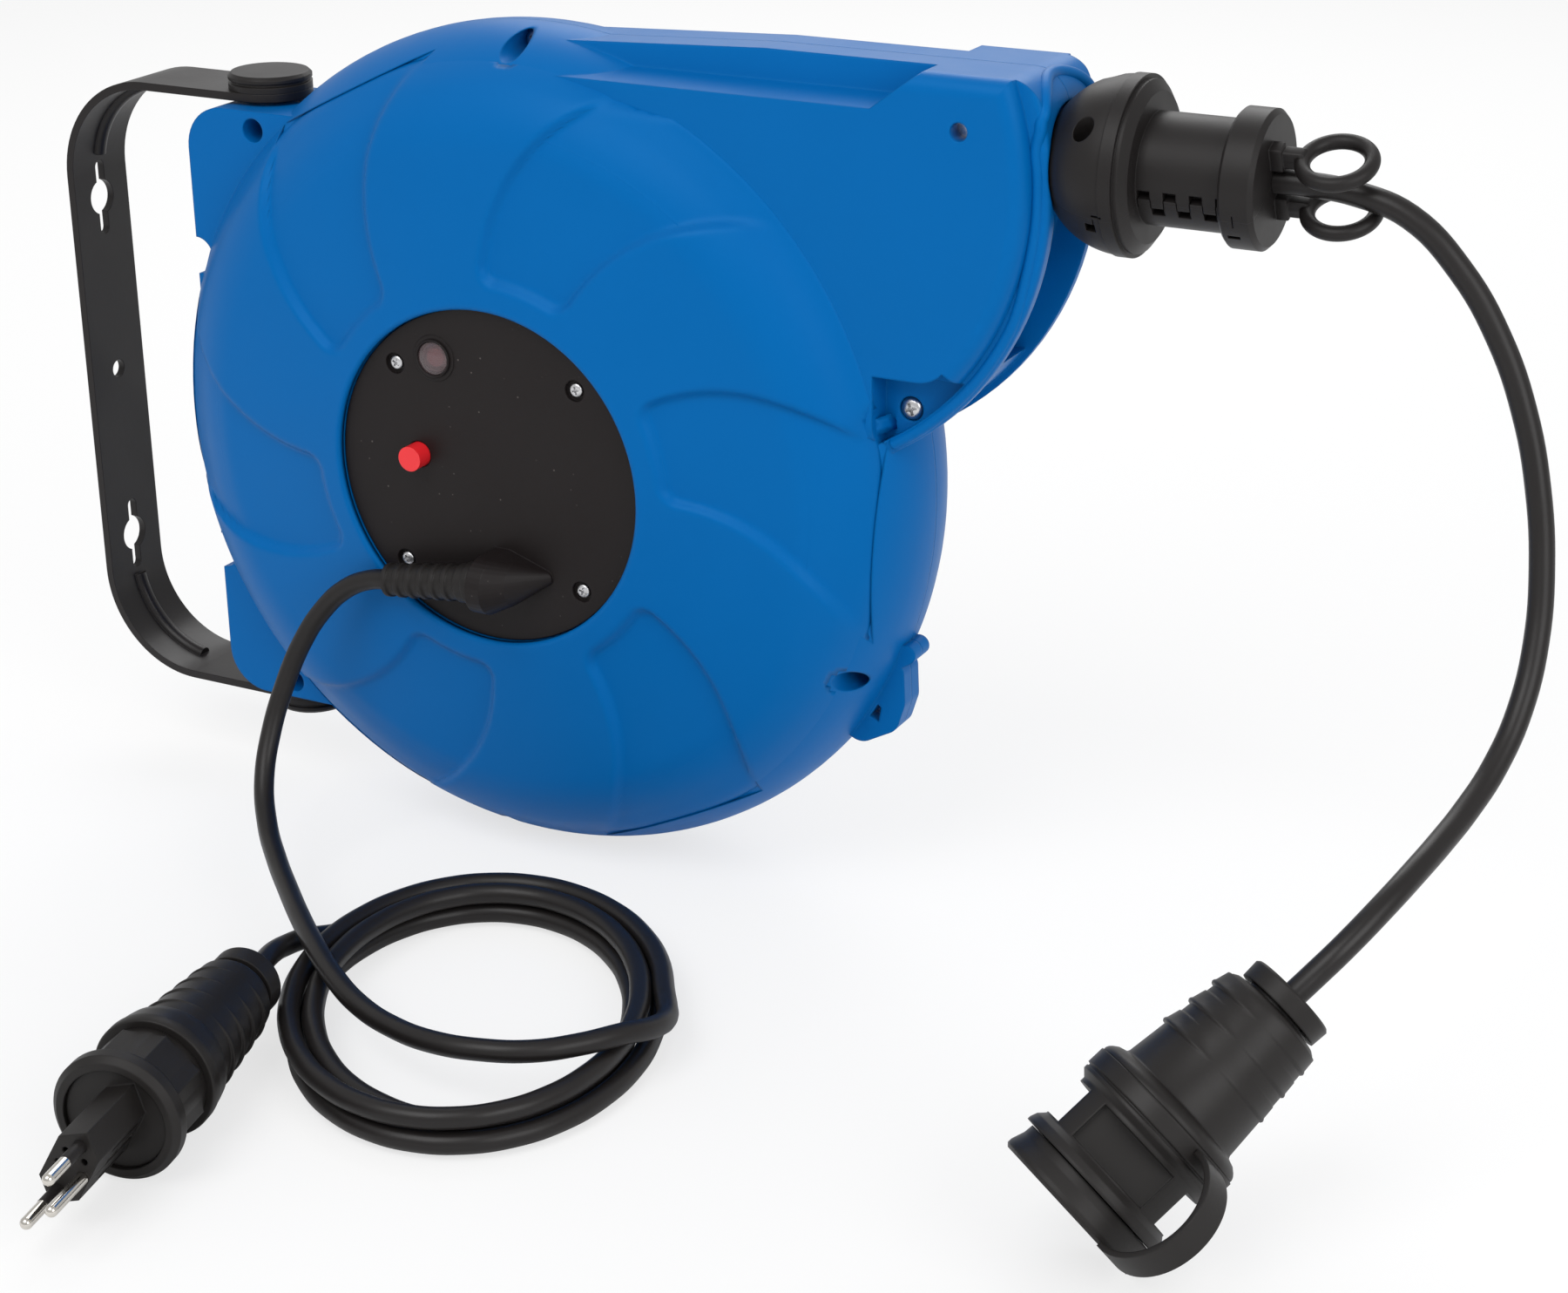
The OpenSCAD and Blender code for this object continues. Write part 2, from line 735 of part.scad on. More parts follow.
module casing_screws() {
  color(steel) for (p = screw_places) at_point(p[0], p[1])
    translate([0, 0, p[2]]) screw(screw_head_r, screw_head_h, screw_r, p[2] + pilot_l - 2);
}

// ---------- wall bracket and swivel ----------

module bar_outline() {
  translate([0, -bar_top + bend_r]) square([bar_t, 2 * (bar_top - bend_r)]);
  for (s = [-1, 1]) {
    translate([bend_r, s > 0 ? bar_top - bar_t : -bar_top]) square([pivot_x + arm_end_r - bend_r, bar_t]);
    translate([bend_r, s * (bar_top - bend_r)]) intersection() {
      difference() {
        circle(bend_r);
        circle(bend_r - bar_t);
      }
      translate([-bend_r, s > 0 ? 0 : -bend_r]) square(bend_r);
    }
  }
}

module keyhole() {
  rotate([0, 90, 0]) translate([0, 0, -1]) {
    reach = (keyslot_l - keyslot_w) / 2;
    cylinder(r = keyhole_r, h = bar_t + 2);
    for (s = [-1, 1]) translate([s * reach, 0, 0]) cylinder(r = keyslot_w / 2, h = bar_t + 2);
    translate([-reach, -keyslot_w / 2, 0]) cube([2 * reach, keyslot_w, bar_t + 2]);
  }
}

module wall_bracket() {
  color(black) {
    difference() {
      intersection() {
        translate([0, arm_end_r, 0]) rotate([90, 0, 0]) linear_extrude(bar_w) bar_outline();
        union() {
          translate([-1, -bar_w, -2 * bar_top]) cube([pivot_x + 1, 2 * bar_w, 4 * bar_top]);
          translate([pivot_x, 0, -2 * bar_top]) cylinder(r = arm_end_r, h = 4 * bar_top);
        }
      }
      for (s = [-1, 1]) {
        translate([0, 0, s * keyhole_spacing / 2]) keyhole();
        translate([pivot_x, 0, s * arm_z]) mirror([0, 0, s < 0 ? 1 : 0])
          translate([0, 0, -1]) cylinder(r = bush_r, h = bar_t + 2);
      }
      translate([-1, 0, 0]) rotate([0, 90, 0]) cylinder(r = centre_hole_r, h = bar_t + 2);
    }
    // stiffening bead pressed inwards round each bend
    for (s = [-1, 1]) mirror([0, 0, s < 0 ? 1 : 0])
      translate([bend_r, 0, bar_top - bend_r]) rotate([90, 0, 0]) rotate([0, 0, 100])
      rotate_extrude(angle = 70) translate([bend_r - bar_t + 0.5, 0]) intersection() {
        circle(3);
        translate([-3, -3]) square([3, 6]);
      }
  }
}

module both_ends() {
  for (s = [-1, 1]) mirror([0, 0, s < 0 ? 1 : 0]) translate([pivot_x, 0, 0]) children();
}

module pivot_bushes() {
  color("#d8d4c4") both_ends() {
    disc(bush_r, arm_z, bar_top, pivot_bolt_r + running);
    disc(bush_r + 3, block_half_h + soft_gap, arm_z, pivot_bolt_r + running);
  }
}

module pivot_caps() {
  color(black) both_ends() translate([0, 0, bar_top]) difference() {
    rotate_extrude() polygon([[0, 0], [arm_end_r, 0], [arm_end_r, 2.2], [arm_end_r - 0.8, 2.6],
      [arm_end_r - 0.8, 3.2], [arm_end_r, 3.6], [arm_end_r, cap_h - 1.2], [arm_end_r - 1.2, cap_h],
      [0, cap_h]]);
    translate([0, 0, -1]) cylinder(r = bolt_head_r + 1.5, h = bolt_head_h + 1 + 2 * soft_gap);
  }
}

module pivot_bolts() {
  color(steel) both_ends() {
    disc(bolt_head_r, bar_top + soft_gap, bar_top + soft_gap + bolt_head_h);
    disc(pivot_bolt_r, bar_top - bolt_l, bar_top + soft_gap + 1);
  }
}

module pivot_nuts() {
  color(steel) both_ends() translate([0, 0, nut_z]) difference() {
    cylinder(r = nut_af_r, h = nut_h, $fn = 6);
    translate([0, 0, -1]) cylinder(r = pivot_bolt_r, h = nut_h + 2);
  }
}

// ---------- centre plate and what it carries ----------

// the hood that the supply lead enters through: open at the back, running out to a point
module hood_form(inset) {
  hull() {
    translate([hood_open_x + (inset > 0 ? -1 : 0), hood_z, 0]) rotate([90, 0, 90]) linear_extrude(6)
      intersection() {
      union() {
        translate([0, inlet_h]) circle(r = hood_r - inset, $fn = 32);
        translate([-(hood_r - inset), face_seat - 1]) square([2 * (hood_r - inset), inlet_h - face_seat + 1]);
      }
      translate([-2 * hood_r, face_seat - 1]) square([4 * hood_r, 4 * hood_r]);
    }
    translate([hood_open_x + 12, hood_z + 0.7, 0]) rotate([90, 0, 90]) linear_extrude(1)
      translate([0, inlet_h - 3]) circle(r = hood_r - 2.6 - inset, $fn = 32);
    translate([hood_tip_x - 2.5 * inset, hood_z + 2, face_seat - 1])
      cylinder(r = 3 - inset / 2, h = 2 - inset / 2, $fn = 24);
  }
}

module centre_plate() {
  color(black) at_drum() {
    difference() {
      union() {
        disc(plate_r, plate_back, face_seat);
        disc(axle_r + 4, plate_back - 7.5, plate_back + 1);
        translate([lens_at[0], lens_at[1], 0]) disc(lens_r + 2.4, face_seat - 1, face_seat + lens_rim);
      }
      translate([0, 0, plate_back - 8]) cylinder(r = axle_r + slack, h = 8);
      translate([lens_at[0], lens_at[1], 0]) cylinder(r = lens_r - 1.2, h = half_depth * 2);
      translate([lens_at[0], lens_at[1], plate_back + 1.5]) cylinder(r = lens_r, h = half_depth);
      translate([button_at[0], button_at[1], 0]) cylinder(r = button_r + soft_gap, h = half_depth * 2);
      for (a = [45:90:315]) rotate(a) translate([plate_screw_circle, 0, 0]) {
        cylinder(r = plate_screw_r + slack, h = half_depth * 2);
        translate([0, 0, face_seat - plate_pocket]) cylinder(r = plate_pocket_r, h = 5);
      }
      translate([hood_open_x + 4, hood_z - 6, plate_back - 1]) cube([10, 12, plate_t + 2]);
    }
    difference() {
      hood_form(0);
      hood_form(hood_wall);
      translate([0, 0, face_seat - 10]) cylinder(r = plate_r, h = 10);
    }
  }
}

module plate_screws() {
  color(steel) at_drum() for (a = [45:90:315]) rotate(a)
    translate([plate_screw_circle, 0, face_seat - plate_pocket])
      screw(plate_head_r, 1.4, plate_screw_r, plate_t + seat_t + 1);
}

module far_hub_cover() {
  color(black) far_side() at_drum() difference() {
    union() {
      disc(hub_cover_r, face_seat, face_seat + hub_cover_t);
      disc(hub_dome_r, face_seat, face_seat + hub_dome_h);
    }
    translate([0, 0, face_seat - 1]) cylinder(r = hub_dome_r - 2.5, h = hub_dome_h - 1);
    for (a = [45:90:315]) rotate(a) translate([cover_screw_circle, 0, 0])
      cylinder(r = plate_screw_r + slack, h = half_depth * 2);
  }
}

module cover_screws() {
  color(steel) far_side() at_drum() for (a = [45:90:315]) rotate(a)
    translate([cover_screw_circle, 0, face_seat + hub_cover_t]) screw(3.4, 1.6, plate_screw_r, 7);
}

module pilot_lens() {
  color("#7a2a30") at_drum() translate([lens_at[0], lens_at[1], plate_back + 1.5]) {
    cylinder(r = lens_r - slack, h = plate_t - 1.5 + lens_proud);
    translate([0, 0, plate_t - 1.5 + lens_proud]) intersection() {
      translate([0, 0, -lens_round]) sphere(norm([lens_r - slack, lens_round]));
      cylinder(r = lens_r, h = 6);
    }
  }
}

module neon_lamp() {
  color("#e8d9c8") at_drum() translate([lens_at[0], lens_at[1], 0])
    disc(lens_r - 3, plate_back - 12, plate_back + 1.2);
}

module thermal_cutout() {
  w = cutout_size[0];
  l = cutout_size[1];
  color("#3a3a3c") at_drum() translate([button_at[0], button_at[1], 0]) difference() {
    translate([-w / 2, -l / 2, plate_back - cutout_size[2]]) cube(cutout_size);
    translate([0, 0, plate_back - 8]) cylinder(r = button_r + running * 2, h = 40);
  }
}

module reset_button() {
  color("#e8202c") at_drum() translate([button_at[0], button_at[1], 0])
    disc(button_r, plate_back - 4, face_seat + button_proud);
}

module terminal_block() {
  color("#d9d5c8") at_drum() difference() {
    translate([terminal_at[0], terminal_at[1], plate_back - terminal_size[2]]) cube(terminal_size);
    for (i = [-1:1]) translate([terminal_at[0] + terminal_size[0] / 2 + terminal_pitch * i,
      terminal_at[1] + terminal_size[1] / 2, plate_back - terminal_size[2] - 1]) cylinder(r = 2, h = 8);
  }
}

// the three leads behind the plate: terminals to cut-out, cut-out to brushes, terminals to brushes
module internal_leads() {
  cut_x = button_at[0];
  cut_low = button_at[1] - cutout_size[1] / 2;
  cut_high = button_at[1] + cutout_size[1] / 2;
  left = terminal_at[0];
  right = left + terminal_size[0];
  mid = terminal_at[1] + terminal_size[1] / 2;
  r = 1.2;
  color("#3050a0") at_drum() {
    swept([[left, mid, 37], [left - 5, mid, 36.8], [-18, -32, 36], [-26, -25, 35], [cut_x, -17, 34.5],
      [cut_x, cut_low, 34]], r, 6);
    swept([[cut_x, cut_high, 34], [cut_x, 24, 34], [-22, 31, 33.5], [-6, 34, 33], [12, 32, 32.5], [26, 23, 31],
      [30, 14, 30], [30, 7, 30]], r, 6);
    swept([[right, mid, 37], [right + 6, mid, 37], [38, -32, 36.5], [46, -23, 35], [49, -10, 32], [46, -2, 31],
      [41, 0, 30.8], [36, 0, 30.8]], r, 6);
  }
}

module brush_holder() {
  color("#50382c") at_drum() difference() {
    translate([24, -7, web_high + 2]) cube([12, 14, plate_back - web_high - 2]);
    for (h = slip_levels) translate([20, -2 - slack, h - slack]) cube([9, 4 + 2 * slack, slip_w + 2 * slack]);
  }
}

module brushes() {
  color("#303236") at_drum() for (h = slip_levels)
    translate([slip_r + soft_gap, -2, h]) cube([8.5 - soft_gap, 4, slip_w]);
}

// ---------- axle, rollers, pawl ----------

module main_axle() {
  color(steel) at_drum() {
    disc(axle_r, -(face_seat - wall - 5), plate_back - eps);
    disc(axle_r - 2, -(face_seat + 5), -(face_seat - wall - 5) + 1);
    translate([0, 0, (spring_low + spring_high) / 2])
      cube([2 * spring_in_r - 1, 4, spring_high - spring_low], center = true);
  }
}

module axle_nut() {
  color(steel) far_side() at_drum() difference() {
    union() {
      disc(12, face_seat, face_seat + 1);
      translate([0, 0, face_seat + 1]) cylinder(r = 10.5, h = 4, $fn = 6);
    }
    cylinder(r = axle_r - 2, h = half_depth * 2);
  }
}

module at_pawl() at_drum() rotate(pawl_turn) translate([pawl_pivot_r, 0, 0]) children();

module pawl() {
  color(steel) at_pawl() translate([0, 0, pawl_low]) rotate(pawl_rest) difference() {
    union() {
      cylinder(r = 6, h = pawl_t);
      linear_extrude(pawl_t)
        polygon([[3, -4.5], [24, -2.5], [pawl_l, -1.2], [pawl_l, 1], [24, 2.5], [3, 4.5]]);
    }
    translate([0, 0, -1]) cylinder(r = pawl_pin_r + running, h = pawl_t + 2);
  }
}

module pawl_pin() {
  color(steel) at_pawl() disc(pawl_pin_r, pawl_low - 0.2, half_depth - 9);
}

module pawl_spring() {
  turns = 3;
  coil_r = pawl_pin_r + 1.2;
  wire_r = 0.35;
  rise = (pawl_spring_h - 2 * wire_r - 0.6) / turns;
  color(steel) at_pawl() swept([for (i = [0:8 * turns])
    [coil_r * cos(45 * i), coil_r * sin(45 * i), pawl_low + pawl_t + 0.3 + wire_r + rise * i / 8]], wire_r, 6);
}

module roller(s) {
  color("#e4e2da") at_point(roller_x, outlet_z + s * roller_dz) difference() {
    disc(roller_r, -roller_half, roller_half);
    translate([0, 0, -roller_half - 1]) cylinder(r = roller_pin_r + running, h = 2 * roller_half + 2);
  }
}

module roller_upper() roller(1);
module roller_lower() roller(-1);

module roller_pins() {
  color(steel) for (s = [-1, 1]) at_point(roller_x, outlet_z + s * roller_dz)
    disc(roller_pin_r, -lip_half, lip_half);
}

// ---------- drum ----------

module drum_hub() {
  color("#d6d3c9") at_drum() difference() {
    union() {
      disc(hub_r, -drum_half_w, drum_half_w, hub_r - hub_wall);
      disc(hub_r - hub_wall + 0.5, web_low, web_high, bush_out_r);
      disc(tube_r, web_low - 11, web_high, bush_out_r);
      for (i = [0:drum_posts - 1]) rotate(60 * i + 30) translate([post_circle, 0, 0])
        disc(drum_post_r, -drum_half_w + cover_t, drum_half_w);
    }
    for (i = [0:drum_posts - 1]) rotate(60 * i + 30) translate([post_circle, 0, -drum_half_w - 1])
      cylinder(r = screw_r + slack, h = 2 * drum_half_w + 2);
  }
}

module flange_plate() {
  difference() {
    disc(flange_r, drum_half_w, drum_half_w + flange_t, flange_in_r);
    for (i = [0:drum_posts - 1]) rotate(60 * i + 30) translate([post_circle, 0, 0])
      cylinder(r = screw_r + slack, h = half_depth);
  }
}

module near_flange() color("#d6d3c9") at_drum() flange_plate();
module far_flange() color("#d6d3c9") far_side() at_drum() flange_plate();

module flange_screws() {
  near_head = drum_half_w + flange_t + ratchet_t;
  far_head = drum_half_w + flange_t;
  color(steel) at_drum() for (i = [0:drum_posts - 1]) rotate(60 * i + 30) translate([post_circle, 0, 0]) {
    translate([0, 0, near_head]) screw(3, 1.8, screw_r, near_head - 2);
    mirror([0, 0, 1]) translate([0, 0, far_head]) screw(3, 1.8, screw_r, far_head - 2);
  }
}

module drum_bushes() {
  color("#c7a15a") at_drum() {
    disc(bush_out_r, web_low - 11, web_high, axle_r + running);
    disc(bush_out_r, -drum_half_w, -drum_half_w + cover_t + 2, axle_r + running);
  }
}

module spring_cover() {
  color("#9a9c9e") at_drum() difference() {
    union() {
      disc(hub_r - hub_wall - cover_clear, -drum_half_w, -drum_half_w + cover_t);
      disc(bush_out_r + 2, -drum_half_w, -drum_half_w + cover_t + 2);
    }
    translate([0, 0, -drum_half_w - 1]) cylinder(r = bush_out_r, h = 10);
    for (i = [0:drum_posts - 1]) rotate(60 * i + 30) translate([post_circle, 0, -drum_half_w - 1])
      cylinder(r = screw_r + slack, h = cover_t + 2);
  }
}

// flat strip wound from the axle out to the drum
module mainspring() {
  per_turn = 24;
  steps = per_turn * spring_turns;
  way = (spring_out_r - spring_in_r) / steps;
  inner = [for (i = [0:steps]) (spring_in_r + way * i) * [cos(360 * i / per_turn), sin(360 * i / per_turn)]];
  outer = [for (i = [steps:-1:0])
    (spring_in_r + spring_t + way * i) * [cos(360 * i / per_turn), sin(360 * i / per_turn)]];
  hook_l = post_circle - drum_post_r - 0.1 - spring_out_r;
  color("#6f7478") at_drum() rotate(30) translate([0, 0, spring_low]) {
    linear_extrude(spring_high - spring_low) polygon(concat(inner, outer));
    translate([spring_out_r, -1, 0]) cube([hook_l, 1.2, spring_high - spring_low]);
  }
}

module ratchet_wheel() {
  color("#4a4c50") at_drum() translate([0, 0, drum_half_w + flange_t]) difference() {
    linear_extrude(ratchet_t) difference() {
      rotate(pawl_turn + steep_at) polygon([for (i = [0:teeth - 1])
        each [ratchet_root_r * [cos(pitch * i), sin(pitch * i)],
          (ratchet_root_r + ratchet_tip_r) / 2 * [cos(pitch * (i + 0.5)), sin(pitch * (i + 0.5))],
          ratchet_tip_r * [cos(pitch * (i + 1)), sin(pitch * (i + 1))]]]);
      circle(flange_in_r);
    }
    for (i = [0:drum_posts - 1]) rotate(60 * i + 30) translate([post_circle, 0, -1])
      cylinder(r = screw_r + slack, h = ratchet_t + 2);
  }
}

module slip_ring_carrier() {
  color("#50382c") at_drum() disc(carrier_r, web_high, carrier_top, axle_r + 2);
}

module slip_rings() {
  color(brass) at_drum() for (h = slip_levels) disc(slip_r, h, h + slip_w, carrier_r);
}

// the wound cord: a plain core whose outer layer shows its turns
module wound_cord() {
  turns = floor(2 * drum_half_w / cord_d);
  first = -(turns - 1) * cord_d / 2;
  color(black) at_drum() rotate_extrude() {
    translate([hub_r, -drum_half_w + 0.2]) square([winding_depth - cord_r, 2 * drum_half_w - 0.4]);
    for (i = [0:turns - 1]) translate([winding_r - cord_r, first + cord_d * i]) circle(cord_r - 0.02);
  }
}

// ---------- outlet: cord run, stop, hanging cord ----------

module outlet_run() {
  color(black) along_x(drum_x) cylinder(r = cord_r, h = stop_front_x - drum_x);
}

// half space on one side of the tilted split plane
module split_side(s) {
  translate([0, 0, outlet_z]) rotate([split_tilt, 0, 0])
    translate([drum_x, -200, s > 0 ? 0 : -200]) cube([500, 400, 200]);
}

module stop_form() {
  along_x(ball_x) {
    intersection() {
      sphere(stop_r - 0.4);
      translate([0, 0, -stop_r]) cylinder(r = stop_r, h = stop_r);
    }
    disc(stop_r, -1, 3.5);
    rotate_extrude() polygon([[0, 3], [stop_r - 1.5, 3], [stop_r - 1.5, 5], [stop_r - 5, 7.5], [0, 8]]);
    disc(neck_r, 0, stop_l - 1);
    rotate_extrude() polygon([[0, stop_l - flange_stop_l], [flange_stop_r - 1, stop_l - flange_stop_l],
      [flange_stop_r, stop_l - flange_stop_l + 1], [flange_stop_r, stop_l - 1.5], [flange_stop_r - 1.5, stop_l],
      [0, stop_l]]);
  }
}

// the ring that a hook goes into, on one half of the stop
module eyelet(s) {
  translate([0, 0, outlet_z]) rotate([split_tilt, 0, 0]) translate([0, 0, s * eye_off]) {
    translate([eye_x, 0, 0]) rotate_extrude() translate([eye_r, 0]) circle(eye_wire_r);
    translate([stop_front_x - 2, 0, 0]) rotate([0, 90, 0])
      cylinder(r = eye_wire_r - 0.3, h = eye_x - eye_r - stop_front_x + 2);
  }
}

module stop_screw_place() {
  for (y = [-1, 1]) translate([ball_x - 8.5, 0, outlet_z]) rotate([split_tilt, 0, 0])
    translate([0, y * stop_screw_off, 0]) children();
}

module stop_half(s) {
  difference() {
    intersection() {
      stop_form();
      split_side(s);
    }
    along_x(drum_x) cylinder(r = cord_r + slack, h = 500);
    stop_screw_place() {
      translate([0, 0, -14]) cylinder(r = 1.6 + slack, h = 60);
      translate([0, 0, 12]) cylinder(r = 3.6, h = 30);
    }
  }
  eyelet(s);
}

module stop_half_upper() color(black) stop_half(1);
module stop_half_lower() color(black) stop_half(-1);

module stop_screws() {
  color(steel) stop_screw_place() translate([0, 0, 12]) screw(3.3, 2.5, 1.6, 24);
}

module outlet_cord() color(black) swept(outlet_route, cord_r, 10);

// ---------- connector ----------

module connector_gland() {
  r = conn_r - 12.3;
  color(black) at_connector() rotate_extrude() polygon([[0, 0], [r - 0.7, 0], [r, 0.7], [r - 0.3, gland_l],
    [r - 3.5, gland_l], [r - 3.5, gland_l + gland_gap], [0, gland_l + gland_gap]]);
}

module connector_grip() {
  start = gland_l + gland_gap;
  color(black) at_connector() {
    rotate_extrude() polygon([[0, start], [conn_r - 13.2, start], [conn_r - 10.2, start + 1.2],
      [conn_r - 9.3, start + 3.5], [conn_r - 5.9, grip_end - 5.5], [conn_r - 4.5, grip_end - 4.9],
      [conn_r - 1.6, grip_end - 2.9], [conn_r - 0.5, grip_end - 1.3], [conn_r - 0.5, grip_end], [0, grip_end]]);
    // raised finger ribs on both sides
    for (side = [0, 180], i = [0:2]) rotate(side + rib_turn - 70) translate([0, 0, start + 4.8 + 9.3 * i])
      rotate_extrude(angle = 140) translate([conn_r - 9.1 + 0.92 * i, 0])
      polygon([[-1, 0], [1.2, 0.5], [1.2, 3.6], [-1, 4.2]]);
  }
}

module connector_body() {
  flat = conn_r - 9.1;
  flat_w = 28;
  color(black) at_connector() difference() {
    rotate_extrude() polygon([[0, grip_end], [conn_r, grip_end], [conn_r, grip_end + 5.5],
      [conn_r - 0.8, grip_end + 5.7], [conn_r - 0.8, grip_end + 6.3], [conn_r - 0.4, grip_end + 6.5],
      [conn_r - 0.4, collar_end - 2], [conn_r - 2.5, collar_end], [conn_r - 2.5, body_end],
      [conn_r - 0.7, body_end + 2.1], [conn_r, body_end + 4.3], [conn_r, face_end], [0, face_end]]);
    for (a = [0:90:270]) rotate(a + window_turn) translate([flat, -flat_w / 2, collar_end + 1.5])
      cube([10, flat_w, conn_body_l - 2]);
    translate([0, 0, face_end - socket_depth]) linear_extrude(socket_depth + 1) socket_outline(0.6);
    for (p = socket_holes()) translate([p[0], p[1], face_end - socket_depth - contact_l - 2])
      cylinder(r = pin_d / 2 + 1 + slack, h = contact_l + 5);
  }
}

// flat hexagon that plug core and socket share
module socket_outline(grow) {
  l = hex_half_l + grow;
  w = hex_half_w + grow;
  rotate(plug_roll) polygon([[-l, 0], [-l + 7, -w], [l - 7, -w], [l, 0], [l - 7, w], [-l + 7, w]]);
}

function rolled(p) = [p[0] * cos(plug_roll) - p[1] * sin(plug_roll),
  p[0] * sin(plug_roll) + p[1] * cos(plug_roll)];
function socket_holes() = [rolled([-pin_pitch, 0]), rolled([pin_pitch, 0]), rolled([0, -earth_off])];

module connector_contacts() {
  color(brass) at_connector() for (p = socket_holes()) translate([p[0], p[1], 0])
    disc(pin_d / 2 + 1, face_end - socket_depth - contact_l - 1, face_end - socket_depth - 1, pin_d / 2 + 0.1);
}

module connector_cap() {
  low = face_end + soft_gap;
  color(black) at_connector() difference() {
    rotate_extrude() polygon([[0, low], [conn_r - 2.4, low], [conn_r - 2.2, low + 3], [conn_r - 1, cap_end - 2.5],
      [conn_r - 1, cap_end - 1], [conn_r - 2, cap_end], [0, cap_end]]);
    translate([0, 0, face_end]) cylinder(r = conn_r - 4.6, h = cap_l - 2.5);
  }
}

// flexible strap from the collar to the cap, bowed outwards
module connector_strap() {
  strap_w = 9.6;
  strap_t = 1.8;
  low = collar_end - 7;
  high = cap_end - 1.3;
  mid = (low + high) / 2;
  span = (high - low) / 2;
  bow = span + 1;
  arc_r = (span * span + bow * bow) / (2 * bow);
  start = conn_r + slack;
  centre = start + bow - arc_r;
  color(black) at_connector() rotate(strap_turn) rotate([90, 0, 0]) translate([0, 0, -strap_w / 2])
    linear_extrude(strap_w) intersection() {
      translate([centre, mid]) difference() {
        circle(arc_r + strap_t);
        circle(arc_r);
      }
      translate([start, low - 5]) square([60, high - low + 10]);
    }
}

// ---------- supply lead, coil, plug ----------

module strain_relief() {
  n = 6;
  step = (relief_l - 8) / n;
  flange = hood_r - hood_wall - 0.6;
  color(black) at_relief() rotate_extrude() polygon(concat(
    [[0, -4], [flange, -4], [flange, -1], [flange - 0.4, 0.3], [8, 1], [8, 3.2], [7.1, 3.8], [7.1, 7]],
    [for (i = [0:n - 1]) each [[6.3 - 0.12 * i, 8 + step * i], [6.2 - 0.12 * i, 8 + step * (i + 0.55)],
      [6.8 - 0.12 * i, 8 + step * (i + 0.6)], [6.8 - 0.12 * i, 8 + step * (i + 0.9)]]],
    [[0, relief_l]]));
}

// point of the coil after a number of turns: inwards on the lower layer, outwards on the upper
function coil_point(t) = let (
    inset = coil_pitch * min(t, coil_turns - t),
    climb = min(max((t - coil_turns / 2) * 2 + 0.5, 0), 1),
    a = coil_begin + 360 * t)
  coil_at + (coil_axes[0] - inset) * cos(a) * coil_u + (coil_axes[1] - inset) * sin(a) * coil_v
  + [0, 0, coil_pitch * (climb * climb * (3 - 2 * climb))];
coil_steps = round(coil_turns * coil_rings);
coil_route = let (pts = [for (i = [0:coil_steps]) coil_point(coil_turns * i / coil_steps)])
  concat([pts[0]], [pts[0] + lead_d * unit(pts[1] - pts[0])], [for (i = [1:coil_steps - 1]) pts[i]],
    [last(pts) - lead_d * unit(last(pts) - pts[coil_steps - 1])], [last(pts)]);
coil_gap = min([for (i = [0:len(coil_route) - 1], j = [0:len(coil_route) - 1])
  if (j > i + 8) norm(coil_route[i] - coil_route[j])]) - lead_d;
echo(coil_least_gap = coil_gap);

coil_out = unit(coil_route[len(coil_route) - 1] - coil_route[len(coil_route) - 2]);
lead_route = concat([for (p = lead_steps) supply_start + p],
  [last(coil_route) + 8 * coil_out, last(coil_route)]);
coil_in = unit(coil_route[0] - coil_route[1]);
plug_dir = [sin(plug_yaw), -cos(plug_yaw), 0];
tail_route = concat([coil_route[0], coil_route[0] + 8 * coil_in], [for (p = tail_steps) supply_start + p],
  [plug_at - 8 * plug_dir, plug_at]);

module supply_lead() color(black) swept(lead_route, lead_r, 10);
module supply_coil() color(black) swept(coil_route, lead_r, 6);
module supply_tail() color(black) swept(tail_route, lead_r, 10);

module plug_gland() {
  color(black) at_plug() rotate_extrude()
    polygon([[0, 0], [12, 0], [12.5, 0.8], [12.5, plug_gland_l], [10.5, plug_gland_l],
      [10.5, plug_gland_l + plug_gap], [0, plug_gland_l + plug_gap]]);
}

module plug_grip() {
  start = plug_gland_l + plug_gap;
  color(black) at_plug() {
    rotate_extrude() polygon([[0, start], [12, start], [13.4, start + 1], [14, start + 6], [17, plug_grip_end],
      [19.5, plug_grip_end + 3], [20.5, plug_grip_end + 9], [plug_r - 0.75, plug_grip_end + 11],
      [plug_r - 0.75, plug_flange_end], [0, plug_flange_end]]);
    for (side = [0, 180], i = [0:3]) rotate(side + 100) translate([0, 0, start + 5 + 8 * i])
      rotate_extrude(angle = 70) translate([13.8 + 0.6 * i, 0]) polygon([[-1, 0], [1, 0.5], [1, 1.6], [-1, 4]]);
  }
}

module plug_collar() {
  color(black) at_plug() difference() {
    union() {
      disc(plug_r - 3.5, plug_flange_end, plug_collar_end - 4);
      rotate(22.5) translate([0, 0, plug_flange_end + 2.5])
        cylinder(r = plug_r - 2.2, h = plug_collar_l - 8, $fn = 8);
      rotate_extrude() polygon([[0, plug_collar_end - 8], [plug_r - 1.5, plug_collar_end - 8],
        [plug_r, plug_collar_end - 6], [plug_r, plug_collar_end - 2], [plug_r - 2, plug_collar_end],
        [0, plug_collar_end]]);
    }
    translate([0, 0, plug_collar_end - core_foot]) cylinder(r = plug_r - 4.5, h = core_foot + 1);
  }
}

